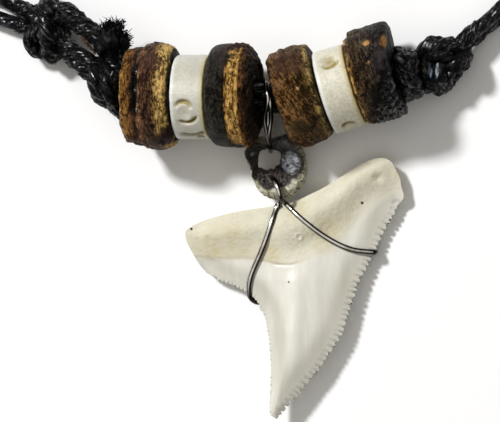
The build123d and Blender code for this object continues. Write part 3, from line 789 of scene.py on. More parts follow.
def turned_piece(name, node, row, start, wall, bore, material, relief, slot, step=0.13, around=250, skew=0.0):
    """A turned, drilled piece: wall is station and radius from end to end, and relief moves it in or out.

    A skewed piece is longer on its upper side by that many mm.
    """
    outer = through(wall, step)
    bore_start, bore_end = (outer[0][0] + DISH, bore), (outer[-1][0] - DISH, bore)
    end_face = np.linspace(outer[-1], bore_end, FACE_ROWS)[1:]
    hole = np.linspace(bore_end, bore_start, BORE_ROWS)[1:]
    start_face = np.linspace(bore_start, outer[0], FACE_ROWS)[1:-1]
    profile = np.vstack([outer, end_face, hole, start_face])
    ahead = np.roll(profile, -1, 0) - np.roll(profile, 1, 0)
    outward = np.stack([-ahead[:, 1], ahead[:, 0]], 1)
    outward /= np.linalg.norm(outward, axis=1)[:, None]
    turn = np.linspace(-math.pi, math.pi, around, endpoint=False)
    station2, turn2 = np.meshgrid(profile[:, 0], turn, indexing="ij")
    radius2 = np.repeat(profile[:, 1:2], around, 1)
    on_wall = (np.arange(len(profile)) < len(outer))[:, None] * np.ones(around)
    local = np.stack([station2, radius2 * np.sin(turn2), radius2 * np.cos(turn2)], -1)
    moved, pit = relief(station2, turn2, radius2, local, on_wall)
    station3 = station2 + outward[:, :1] * moved + skew * step_up(np.sin(turn2), 0.1, 1.0) * station2 / wall[-1][0]
    radius3 = radius2 + outward[:, 1:] * moved
    shape = np.stack([station3, radius3 * np.sin(turn2), radius3 * np.cos(turn2)], -1)
    world = row.place((shape + (start, 0, 0)).reshape(-1, 3))
    world[:, 2] = np.maximum(world[:, 2], 0.01)
    faces = quads(len(profile), around, closed_rows=True).tolist()
    mesh_piece(name, world, faces, [material], {"on_bead": shape.reshape(-1, 3), "pit": np.clip(pit, 0, 1).ravel()},
               slot, node, sharp=75)

# %% [markdown]
# The first bead is a barrel of reddish brown shell. A deep groove runs round it near the left
# end and is widest at the top, and its depth is painted black: painted shade.

# %% Left outer bead
LEFT_STARTS = (0.0, 6.06, 10.22)
RIGHT_STARTS = (0.0, 5.16, 9.09)
left_outer_shell = coco_material(
    "left_outer_shell", 6.0,
    [(0.00, 79, 53, 25), (0.04, 166, 123, 63), (0.08, 118, 81, 38), (0.17, 125, 86, 41), (0.27, 83, 55, 35),
     (0.34, 67, 46, 31), (0.42, 126, 91, 60), (0.48, 91, 63, 44), (0.68, 72, 51, 37), (0.76, 148, 115, 64),
     (0.84, 242, 200, 121), (0.94, 231, 191, 103), (0.985, 26, 19, 14)],
    left_row, LEFT_STARTS[0], 6.0, [(168, 140, 2.6, 1.2, (46, 31, 22)), (150, 62, 1.8, 2.2, (88, 62, 50))],
    wobble=0.6)


def left_outer_relief(station, turn, radius, local, on_wall):
    """A groove, widest at the top, whose depth is marked for painted shade; a thin lip, a ridge, a rough wall."""
    groove = bell(station + 0.3 * lumps(local, 1.0, 4), 1.95, 0.34) * on_wall
    open_part = step_up(np.cos(turn - 0.17), 0.80, 0.93)
    rough = rough_lumps(local * (1.6, 0.7, 0.7), 0.8, 4, 1)
    lip = bell(station, 5.15, 0.12) * on_wall
    ridge = bell(station, 2.45, 0.2) * on_wall
    move = -groove * (0.12 + 0.8 * open_part) + 0.16 * rough + 0.22 * lumps(local, 2.0, 2) - 0.08 * lip + 0.06 * ridge
    return move, groove * open_part * 2.2


turned_piece("left_outer_bead", "coco_bead_left_outer", left_row, LEFT_STARTS[0],
             [(0.02, 4.7), (0.22, 5.2), (0.9, 5.55), (1.6, 5.78), (2.6, 6.0), (3.5, 6.24), (4.4, 6.22), (5.1, 6.0),
              (5.6, 5.7), (5.9, 5.25), (5.98, 4.8)],
             CORD_HOLE, left_outer_shell, left_outer_relief, "coco_shell")

# %% [markdown]
# The third bead shows two layers of the shell. Its left half is the smooth black skin, scuffed
# by other beads. Its right half is the torn golden layer below, with a raised edge painted bright:
# a painted highlight.

# %% Left inner bead
left_inner_shell = coco_material(
    "left_inner_shell", 5.0,
    # The bright band at 0.815 lies on the raised edge: a painted highlight.
    [(0.00, 34, 32, 28), (0.04, 46, 43, 37), (0.42, 39, 37, 31), (0.51, 38, 27, 19), (0.56, 203, 151, 75),
     (0.66, 242, 191, 104), (0.76, 172, 127, 60), (0.815, 242, 191, 104), (0.85, 131, 87, 40), (0.90, 100, 68, 38),
     (0.96, 72, 48, 29), (1.00, 46, 33, 22)],
    left_row, LEFT_STARTS[2], 6.1,
    [(234, 44, 2.9, 1.5, (52, 34, 22)), (236, 146, 1.6, 0.9, (50, 34, 22)), (222, 58, 1.5, 2.6, (54, 46, 42))],
    wobble=0.28, contrast=0.26, polish=0.3, specks=0.85)


def left_inner_relief(station, turn, radius, local, on_wall):
    """Smooth skin, then a crack and a torn layer with holes and a raised edge."""
    torn = step_up(station + 0.25 * lumps(local, 1.1, 6), 2.6, 2.95) * on_wall
    rough = rough_lumps(local, 0.55, 3, 9)
    holes = np.clip(lumps(local, 0.42, 12) - 0.3, 0, 1) * torn
    crack = bell(station - 2.75 - 0.3 * lumps(local * (0, 1, 1), 0.9, 3), 0, 0.09) * on_wall
    edge = bell(station, 4.12, 0.12) * on_wall
    face = (1 - on_wall) * (radius > 2.1)
    move = torn * (0.02 + 0.13 * rough) - 0.32 * holes - 0.16 * crack + 0.03 * rough + 0.1 * edge
    move = move + face * (0.06 * rough - 0.45 * bell(radius, 2.0, 1.6))
    near_bore = face * (station > 2.5) * bell(radius, 2.0, 1.5)
    return move, holes * 1.5 + 0.6 * crack + 0.9 * near_bore


turned_piece("left_inner_bead", "coco_bead_left_inner", left_row, LEFT_STARTS[2],
             [(0.02, 5.0), (0.3, 5.6), (1.0, 5.95), (2.4, 6.08), (3.6, 6.06), (4.05, 5.98), (4.35, 5.8), (4.9, 5.25),
              (5.35, 4.5), (5.5, 3.8)],
             CORD_HOLE + 0.25, left_inner_shell, left_inner_relief, "coco_shell")

# %% [markdown]
# The fourth bead is mid brown with fine slanting fibres and one crack from its rim.

# %% Right inner bead
right_inner_shell = coco_material(
    "right_inner_shell", 5.1,
    [(0.00, 30, 21, 14), (0.05, 104, 73, 41), (0.30, 109, 78, 43), (0.60, 87, 63, 33), (0.82, 72, 54, 28),
     (0.90, 147, 122, 69), (0.96, 104, 83, 44), (1.00, 24, 18, 13)],
    right_row, RIGHT_STARTS[0], 5.9,
    [(286, 62, 2.6, 1.8, (88, 62, 46)), (300, 128, 1.8, 1.4, (70, 56, 32)), (297, 88, 0.26, 0.45, (206, 166, 118)),
     (276, 84, 0.8, 0.9, (128, 94, 64))],
    slant=0.35, specks=0.5)


def right_inner_relief(station, turn, radius, local, on_wall):
    """Slanting fibres, low swells and one split from the top down one side."""
    rough = rough_lumps((local + local[..., 1:2] * (0.35, 0, 0)) * (1.8, 0.6, 0.6), 0.8, 3, 21)
    split = bell(station + 0.14 * lumps(local * (0, 1, 1), 0.7, 5), 2.2, 0.07) * on_wall
    split = split * step_up(np.sin(turn), 0.12, 0.24)
    return 0.13 * rough + 0.14 * lumps(local, 2.4, 23) - 0.2 * split, 0.9 * split


turned_piece("right_inner_bead", "coco_bead_right_inner", right_row, RIGHT_STARTS[0],
             [(0.02, 5.0), (0.25, 5.4), (1.0, 5.72), (2.5, 5.9), (4.0, 5.72), (4.75, 5.45), (5.05, 4.95)],
             CORD_HOLE, right_inner_shell, right_inner_relief, "coco_shell")

# %% [markdown]
# The last bead is almost black, with a ledge at its left end, a golden edge, one orange knot in
# the grain, and a lower right side that is black and rough. A violet-grey sheen is painted across
# its middle.

# %% Right outer bead
right_outer_shell = coco_material(
    "right_outer_shell", 4.9,
    [(0.00, 75, 54, 30), (0.045, 178, 134, 71), (0.09, 88, 65, 38), (0.20, 64, 50, 33), (0.50, 67, 56, 44),
     (0.80, 51, 44, 42), (1.00, 22, 18, 16)],
    right_row, RIGHT_STARTS[2], 5.6,
    # The violet-grey stain at (381, 60) is a painted sheen; the near black one at (396, 96) covers the dark lower
    # right side.
    [(366, 43, 0.5, 0.9, (206, 158, 100)), (369, 62, 0.3, 0.9, (166, 130, 78)), (392, 38, 1.75, 0.8, (186, 138, 78)),
     (386, 37, 0.4, 0.3, (86, 36, 20)), (381, 60, 1.7, 2.0, (60, 55, 60)), (396, 96, 4.3, 1.8, (9, 9, 11))],
    wobble=0.45, polish=0.3, specks=0.5)


def right_outer_relief(station, turn, radius, local, on_wall):
    """A rough wall, a cut ledge at the left end and a rough lower right side that is painted black."""
    rough = rough_lumps(local * (1.4, 0.7, 0.7), 0.8, 3, 31)
    # The lower right side is rough and marked to be painted black.
    dark_lower_right = step_up(-np.sin(turn) + 0.25 * lumps(local, 1.2, 7) + (station - 3.0) * 0.3, 0.15, 0.55)
    ledge = (1 - step_up(station + 0.1 * lumps(local, 0.8, 2), 0.45, 0.6)) * on_wall * step_up(np.sin(turn), 0.3, 0.7)
    return 0.11 * rough + dark_lower_right * 0.3 * rough_lumps(local, 0.65, 4, 33) - 0.55 * ledge, 0.85 * dark_lower_right


turned_piece("right_outer_bead", "coco_bead_right_outer", right_row, RIGHT_STARTS[2],
             [(0.02, 5.0), (0.12, 5.3), (0.4, 5.46), (1.4, 5.55), (3.4, 5.58), (4.35, 5.5), (4.62, 5.25),
              (4.68, 4.9)],
             CORD_HOLE, right_outer_shell, right_outer_relief, "coco_shell", skew=0.85)

# %% [markdown]
# ## The bone discs
#
# Bone is sawn across, turned and polished. Its end grain makes fine grey flecks, its rims
# yellow with handling, and small bowls carved by hand hold a darker yellow.

# %% Bone
BONE_RADIUS = 4.95
LEFT_BONE_LENGTH, RIGHT_BONE_LENGTH = 4.1, 3.87


def bone_material(name, length, clean, shadow, shift, grainy):
    """Polished bone: fine flecks, one yellow rim and darker carved strokes."""
    material, tree, shader = new_material(name)
    place = vectors(tree, "ADD", kept(tree, "on_bead"), (shift, shift, shift))
    cloudy = use(tree, MOTTLE, Place=place, Size=2.0, Dark=shadow, Light=clean, Soft=0.25)
    flecks = use(tree, MOTTLE, Place=stretched(tree, place, 1.3, 1.6, 1.6), Size=0.42, Dark=paint(176, 174, 164),
                 Light=paint(255, 255, 255), Soft=0.2)
    colour = mix(tree, grainy, cloudy["Color"], flecks["Color"], "MULTIPLY")
    station = put(tree, "ShaderNodeSeparateXYZ", Vector=kept(tree, "on_bead")).outputs[0]
    rim = between(tree, station, length - 0.7, length - 0.2, 0.0, 0.8)
    colour = mix(tree, rim, colour, paint(190, 174, 116))
    # The left end, turned towards the lamp, is painted whiter: a painted highlight.
    painted_light_end = between(tree, station, 0.7, 0.2, 0.0, 0.7)
    colour = mix(tree, painted_light_end, colour, paint(236, 238, 234))
    colour = mix(tree, between(tree, kept(tree, "pit", "Fac"), 0.15, 1.0, 0.0, 0.9), colour, paint(150, 132, 66))
    dress(tree, shader, Base_Color=colour, Roughness=0.34, Coat_Weight=0.25)
    bump(tree, shader, flecks["Height"], 0.025)
    return material


def strokes(station, turn, radius, places):
    """Carved marks: a stroke over the top of an oval, one under it, and a shallow bowl between them."""
    depth = np.zeros_like(station)
    for middle, angle, wide, high, tilt, over, under, bowl in places:
        a, b = station - middle, (turn - angle) * radius
        c, s = math.cos(tilt), math.sin(tilt)
        a, b = (a * c + b * s) / wide, (b * c - a * s) / high
        reach = np.hypot(a, b)
        stroke = bell(reach, 1.0, 0.3) * (over * np.clip(b, 0, 1) ** 0.8 + under * np.clip(-b, 0, 1) ** 0.8)
        depth = np.maximum(depth, stroke + bowl * np.clip(1 - reach**2, 0, 1))
    return depth


def bone_disc(name, node, row, start, length, material, marks, seed, drop):
    """A bone disc, moved by drop towards the tooth, with carved marks where the photo shows them."""
    shifted = Row(row.place((0, -drop, 0)), 0, 0)
    shifted.along, shifted.across, shifted.up = row.along, row.across, row.up
    places = []
    for px, py, *shape in marks:
        along, across, up = local_on(shifted, start, px, py, BONE_RADIUS)
        places.append((along, math.atan2(across, up), *shape))

    def relief(station, turn, radius, local, on_wall):
        cut = strokes(station, turn, radius, places) * on_wall
        chips = np.clip(lumps(local, 0.8, seed) - 0.45, 0, 1) * bell(station, length, 0.3) * on_wall
        return -cut - 0.25 * chips + 0.012 * rough_lumps(local, 0.7, 2, seed) * on_wall, cut / 0.36

    r = BONE_RADIUS
    turned_piece(name, node, shifted, start,
                 [(0.01, r - 0.42), (0.1, r - 0.14), (0.35, r - 0.03), (length / 2, r), (length - 0.35, r - 0.04),
                  (length - 0.1, r - 0.16), (length - 0.01, r - 0.42)],
                 CORD_HOLE + 0.1, material, relief, "bone", step=0.1, around=300)


# each mark: its place in the photo, width, height, tilt, and how deep its upper stroke, lower stroke and bowl are
LEFT_MARKS = [
    (183, 109, 0.85, 0.85, -0.1, 0.52, 0.0, 0.0), (187, 118, 0.95, 0.7, 0.25, 0.0, 0.62, 0.0),
    (184, 112, 0.8, 1.1, 0.0, 0.0, 0.0, 0.16), (192, 132, 1.3, 0.8, 0.1, 0.0, 0.6, 0.05),
    (201, 137, 0.4, 0.4, 0.0, 0.4, 0.4, 0.3)]
RIGHT_MARKS = [(329, 61, 0.95, 0.8, 0.25, 0.2, 0.5, 0.3), (350, 126.5, 0.7, 0.8, 0.3, 0.9, 0.0, 0.12)]
left_bone = bone_material("left_bone", LEFT_BONE_LENGTH, paint(207, 204, 190), paint(191, 188, 173), shift=0.0,
                          grainy=0.25)
right_bone = bone_material("right_bone", RIGHT_BONE_LENGTH, paint(225, 220, 200), paint(211, 206, 185), shift=7.0,
                           grainy=0.4)
bone_disc("left_bone_disc", "bone_disc_left", left_row, LEFT_STARTS[1], LEFT_BONE_LENGTH, left_bone,
          LEFT_MARKS, seed=41, drop=0.16)
bone_disc("right_bone_disc", "bone_disc_right", right_row, RIGHT_STARTS[1], RIGHT_BONE_LENGTH, right_bone,
          RIGHT_MARKS, seed=47, drop=0.55)

# %% [markdown]
# ## The shell ring
#
# The ring is a slice of worn shell. A funnel opens from its bore, and its lining is painted dark:
# dark grit, and painted shade in the hollow that reaches furthest on the upper left, where the wall
# is turned from the lamp.
# A polished blue-grey eye sits in it on the right, the rim is cream with dark cracks that
# point outwards, and a lump of dark resin and a small nub sit on its upper side.

# %% Shell ring
RING_MIDDLE = np.array([3.4, 5.09, 3.12])
RING_LEAN = math.radians(12)
RING_AXES = np.array([
    [1.0, 0, 0], [0, math.cos(RING_LEAN), math.sin(RING_LEAN)], [0, -math.sin(RING_LEAN), math.cos(RING_LEAN)]])
RING_TOP = 1.7
RING_AROUND = 260


def ring_place(px, py, level=RING_TOP):
    """A place in the photo on the ring's upper face, across and along of its middle."""
    eye, ray = RING_AXES @ (EYE - RING_MIDDLE), RING_AXES @ sight(px, py)
    t = (level - eye[2]) / ray[2]
    return tuple((eye + ray * t)[:2])


ring_outline = np.array([ring_place(*p, 0.4) for p in [
    (247, 150), (250, 142), (258, 139), (268, 141), (277, 138), (286, 136), (295, 140), (301, 148), (305, 160),
    (306, 172), (303, 184), (296, 193), (285, 198), (272, 198), (262, 193), (256, 183), (252, 170), (248, 160)]])
hole_outline = np.array([ring_place(*p, -0.2) for p in [
    (258.5, 161), (259, 156), (261, 150.5), (266, 149.5), (269, 147), (274, 149.5), (279, 151), (281, 155),
    (280, 160), (279.5, 164), (276, 165), (274, 168.5), (270, 168), (267, 170), (262, 167.5), (258.5, 167)]])
EYE_SPOT = ring_place(290, 163, 1.3)
LUMP_SPOT, NUB_SPOT = ring_place(286, 143), ring_place(250, 155)


def radial(outline, middle, angle):
    """How far an outline reaches from a middle in each direction."""
    away = outline - middle
    turn = np.arctan2(away[:, 1], away[:, 0])
    order = np.argsort(turn)
    return np.interp(angle, turn[order], np.hypot(away[:, 0], away[:, 1])[order], period=2 * math.pi)


def ring_mesh():
    """The ring as rows from the bore, over the funnel and the rim, and back underneath."""
    angle = np.linspace(-math.pi, math.pi, RING_AROUND, endpoint=False)
    hole_middle, rim_middle = hole_outline.mean(0), np.array([0.0, 0.0])
    inner, outer = radial(hole_outline, hole_middle, angle), radial(ring_outline, rim_middle, angle)
    inner_points = hole_middle + inner[:, None] * np.stack([np.cos(angle), np.sin(angle)], 1)
    outer_points = rim_middle + outer[:, None] * np.stack([np.cos(angle), np.sin(angle)], 1)
    # share from bore to rim, and level
    section = through([
        (0.30, -1.45), (0.14, -0.9), (0.03, -0.45), (0.0, -0.2), (0.03, 0.1), (0.14, 0.5), (0.34, 0.95), (0.54, 1.35),
        (0.66, 1.62), (0.80, 1.66), (0.93, 1.35), (1.0, 0.6), (1.0, -0.5), (0.96, -1.2), (0.85, -1.6), (0.55, -1.66)],
        0.04)
    share, level = section[:, 0:1], section[:, 1:2]
    plan = inner_points[None] * (1 - share[..., None]) + outer_points[None] * share[..., None]
    local = np.concatenate([plan, np.repeat(level, RING_AROUND, 1)[..., None]], -1)
    spot = np.hypot(local[..., 0] - EYE_SPOT[0], (local[..., 1] - EYE_SPOT[1]) * 0.82)
    upper = local[..., 2] > 0.0
    in_eye = (1 - step_up(spot, 1.1, 1.25)) * upper
    rough = rough_lumps(local, 0.42, 3, 51)
    # The dark lining reaches furthest out on the upper left, where the funnel's wall is turned from the lamp: painted
    # shade.
    limit = 0.62 + 0.3 * np.clip(np.cos(angle - 2.3), 0, 1) ** 0.5 + 0.05 * np.sin(angle * 6)
    funnel = (1 - step_up(share - limit[None], -0.06, 0.05)) * upper * (1 - in_eye)
    rim = step_up(np.repeat(share, RING_AROUND, 1), 0.6, 0.7) * upper
    crack_wave = np.abs(((angle * 30 + 1.9 * np.sin(angle * 7)) % (2 * math.pi)) / math.pi - 1)
    cracks = rim * (crack_wave[None] > 0.85) * step_up(lumps(local, 0.36, 8), -0.25, 0.0)
    lump = bell(np.hypot(local[..., 0] - LUMP_SPOT[0], (local[..., 1] - LUMP_SPOT[1]) * 1.6), 0, 1.7) * upper
    nub = bell(np.hypot(local[..., 0] - NUB_SPOT[0], local[..., 1] - NUB_SPOT[1]), 0, 0.55) * upper
    rise = 0.24 * rough * funnel + 0.06 * rough * (1 - funnel) - 0.1 * cracks + 0.9 * lump + 0.6 * nub
    rise = rise + in_eye * (1.15 - local[..., 2]) * 0.8 - 0.3 * bell(spot, 1.22, 0.12) * upper
    local[..., 2] += rise
    spread_out = (1 + (0.03 * rough + 0.14 * nub + 0.05 * lump) * (share > 0.5))
    local[..., :2] *= spread_out[..., None]
    world = RING_MIDDLE + local.reshape(-1, 3) @ RING_AXES
    masks = np.stack([funnel, in_eye, np.clip(lump * 1.7 + nub * 1.2, 0, 1)], -1).reshape(-1, 3)
    crescent = bell(spot, 1.38, 0.28) * upper * step_up(local[..., 0] - EYE_SPOT[0], -0.3, 0.5)
    faces = quads(len(section), RING_AROUND, closed_rows=True).tolist()
    return world, faces, local.reshape(-1, 3), masks, np.clip(cracks + 1.2 * crescent, 0, 1).ravel()


shell_ring, tree, shader = new_material("shell_ring")
place, masks = kept(tree, "on_ring"), put(tree, "ShaderNodeSeparateXYZ", Vector=kept(tree, "ring_zones")).outputs
cream = use(tree, MOTTLE, Place=place, Size=0.7, Dark=paint(160, 152, 124), Light=paint(218, 214, 192), Soft=0.18)
grit_and_shade = use(tree, MOTTLE, Place=place, Size=0.34, Dark=paint(8, 7, 7), Light=paint(84, 75, 70), Soft=0.12)
slate = use(tree, MOTTLE, Place=place, Size=0.5, Dark=paint(66, 69, 75), Light=paint(170, 173, 178), Soft=0.16)
resin = use(tree, MOTTLE, Place=place, Size=0.5, Dark=paint(6, 5, 5), Light=paint(44, 35, 29), Soft=0.2)
colour = mix(tree, masks[0], cream["Color"], grit_and_shade["Color"])
colour = mix(tree, masks[1], colour, slate["Color"])
colour = mix(tree, masks[2], colour, resin["Color"])
colour = mix(tree, kept(tree, "pit", "Fac"), colour, paint(34, 27, 22))
for px, py, radius in ((287, 166, 0.16), (296, 152, 0.12), (303, 167, 0.14), (300, 177, 0.12)):
    mask = stain(tree, place, (*ring_place(px, py, 1.3), 1.2), radius * 2, 0.1)
    colour = mix(tree, mask, colour, paint(20, 18, 18))
# A pale spot painted on the nub: a painted highlight.
nub_painted_glint = stain(tree, stretched(tree, place, 1, 1, 0), (*ring_place(252, 154), 0), 0.32, 0.5)
colour = mix(tree, times(tree, nub_painted_glint, 0.7), colour, paint(172, 166, 158))
dress(tree, shader, Base_Color=colour, Roughness=between(tree, masks[0], 0.0, 1.0, 0.42, 0.6), Coat_Roughness=0.12,
      Coat_Weight=plus(tree, times(tree, masks[2], 0.7), times(tree, masks[1], 0.6)))
bump(tree, shader, plus(tree, grit_and_shade["Height"], cream["Height"]), 0.06)
points, faces, on_ring, zones, pit = ring_mesh()
mesh_piece("shell_ring_body", points, faces, [shell_ring], {"on_ring": on_ring, "ring_zones": zones, "pit": pit},
           "shell", "ring_bead", sharp=80)

# %% [markdown]
# ## The tooth
#
# A shark's tooth is a blade of hard enamel on a soft two-lobed root. The blade is a lens with a
# rib a little left of its middle, and both its edges are saws. The root is duller, warm and
# full of pores, and it swells over the blade with a small step. The outline is read off the
# photo, the saw is cut into it, and heights come from how far a place is from each edge.

# %% Tooth outline
CREASE_Y = 262
TIP_Y = 419
EDGE_STEP = 0.05


def edge_level(py):
    """The height of the tooth's rim: on the root it is low, and the tip stands off the surface."""
    down = np.clip((py - CREASE_Y) / (TIP_Y - CREASE_Y), 0, 1)
    return 1.5 + 0.35 * np.clip((py - 240) / 40, 0, 1) + 1.25 * down


def outline_part(places, step=0.1):
    """A part of the tooth's outline in mm, in plan."""
    return through([seen(px, py, float(edge_level(py)))[:2] for px, py in places], step)


root_rim = outline_part([
    (207, 273), (200, 264), (193.5, 252), (189, 243), (187, 235), (188.5, 230), (196, 225), (208.5, 219.5),
    (227, 214.3), (244, 210.6), (262.8, 208), (273, 206.5), (284, 204), (296, 200.7), (308.7, 195.5), (325.4, 187.2),
    (342, 176.7), (358.8, 166.3), (371.3, 160), (383.9, 158), (392.2, 162), (397, 170.5), (400.6, 178.8),
    (402, 187.2), (404, 194.5), (402.7, 199.7), (397.5, 205)])
right_edge = outline_part([
    (397.5, 205), (392.2, 216.4), (385, 226.8), (381, 235.2), (378, 243.5), (375, 250.5), (370.3, 258.2),
    (366, 266.5), (359.9, 278), (354.6, 291.6), (350.5, 304), (346.3, 318.7), (341, 333.3), (333.8, 345.8),
    (325.4, 358.4), (317, 370.9), (308.7, 380.2), (300.4, 390.2), (292, 400), (283.7, 410), (276.4, 419)], EDGE_STEP)
left_edge = outline_part([
    (276.4, 419), (271.1, 414.7), (269.8, 406.4), (270.8, 389.7), (271.2, 375), (270.8, 358.4), (269.8, 343.8),
    (268, 331.2), (265.6, 318.7), (261.9, 309), (257, 301), (250, 294), (240, 288), (228, 282.7), (216, 278.2),
    (207, 273)], EDGE_STEP)


def saw(line, pitch, depth, seed):
    """Cuts saw teeth into an edge: round cusps with narrow notches between, of uneven size."""
    ahead = np.gradient(line, axis=0)
    outward = np.stack([-ahead[:, 1], ahead[:, 0]], 1) / np.linalg.norm(ahead, axis=1)[:, None]
    along = walk(line)
    drift = 0.22 * lumps(along[:, None], 1.1, seed)
    phase = np.abs(np.sin(math.pi * (along / pitch + drift)))
    height = depth * (np.minimum(phase * 1.5, 1) ** 0.8 - 0.7) * (1 + 0.45 * lumps(along[:, None], 1.7, seed + 2))
    fade = np.minimum(np.minimum(along, along[-1] - along) / 0.8, 1)
    return line + outward * (height * fade)[:, None], phase


right_saw, right_phase = saw(right_edge, 0.68, 0.46, 2)
left_saw, left_phase = saw(left_edge, 0.5, 0.16, 5)
border = np.vstack([root_rim[:-1], right_saw[:-1], left_saw[:-1]])
print("tooth outline", len(border), "places")


# %% [markdown]
# The line where the root ends runs from the left tip to the crease and up the right shoulder.
# Left of it and above it the surface is root, and below it the enamel comes out.

# %% Tooth heights
def near(points, line, chunk=3000):
    """How far each place is from a line, and how far along the line the nearest place is."""
    starts, steps = line[:-1], np.diff(line, axis=0)
    squares = (steps**2).sum(1)
    walked = np.concatenate([[0], np.cumsum(np.sqrt(squares))])[:-1]
    away, along = [], []
    for first in range(0, len(points), chunk):
        gap = points[first:first + chunk, None] - starts[None]
        t = np.clip((gap * steps).sum(2) / squares, 0, 1)
        distance = np.hypot(*np.moveaxis(gap - t[..., None] * steps, 2, 0))
        pick = distance.argmin(1)
        rows = np.arange(len(pick))
        away.append(distance[rows, pick])
        along.append(walked[pick] + t[rows, pick] * np.sqrt(squares[pick]))
    return np.concatenate(away), np.concatenate(along)


def inside(points, polygon):
    """Whether each place lies inside a closed outline."""
    result = np.zeros(len(points), bool)
    for (x1, y1), (x2, y2) in zip(polygon, np.roll(polygon, -1, 0)):
        if y1 != y2:
            crosses = (y1 > points[:, 1]) != (y2 > points[:, 1])
            result ^= crosses & (points[:, 0] < (x2 - x1) * (points[:, 1] - y1) / (y2 - y1) + x1)
    return result


root_end = outline_part([
    (194, 256), (208, 258), (224, 258.5), (240, 258.4), (256, 258.6), (266, 261), (280, 264.5), (294, 264.5),
    (306, 260), (318, 255), (329, 249.8), (341, 238), (352, 227), (362, 214.5), (373, 202), (384, 194.5),
    (394, 189.5), (402, 188)], 0.2)
first, last = root_end[0], root_end[-1]
far_from_root = np.vstack([root_end, [last + (6, 0), last + (6, -60), first + (-8, -60), first + (-8, 0)]])
coarse = {"root_rim": root_rim[::4], "right": right_edge[::5], "left": left_edge[::5]}
smooth_outline = np.vstack(list(coarse.values()))
CUSP = 0.15


def back_to_photo_y(points):
    """The photo's row of a place on the tooth."""
    return MIDDLE[1] - points[:, 1] * PIXELS_PER_MM


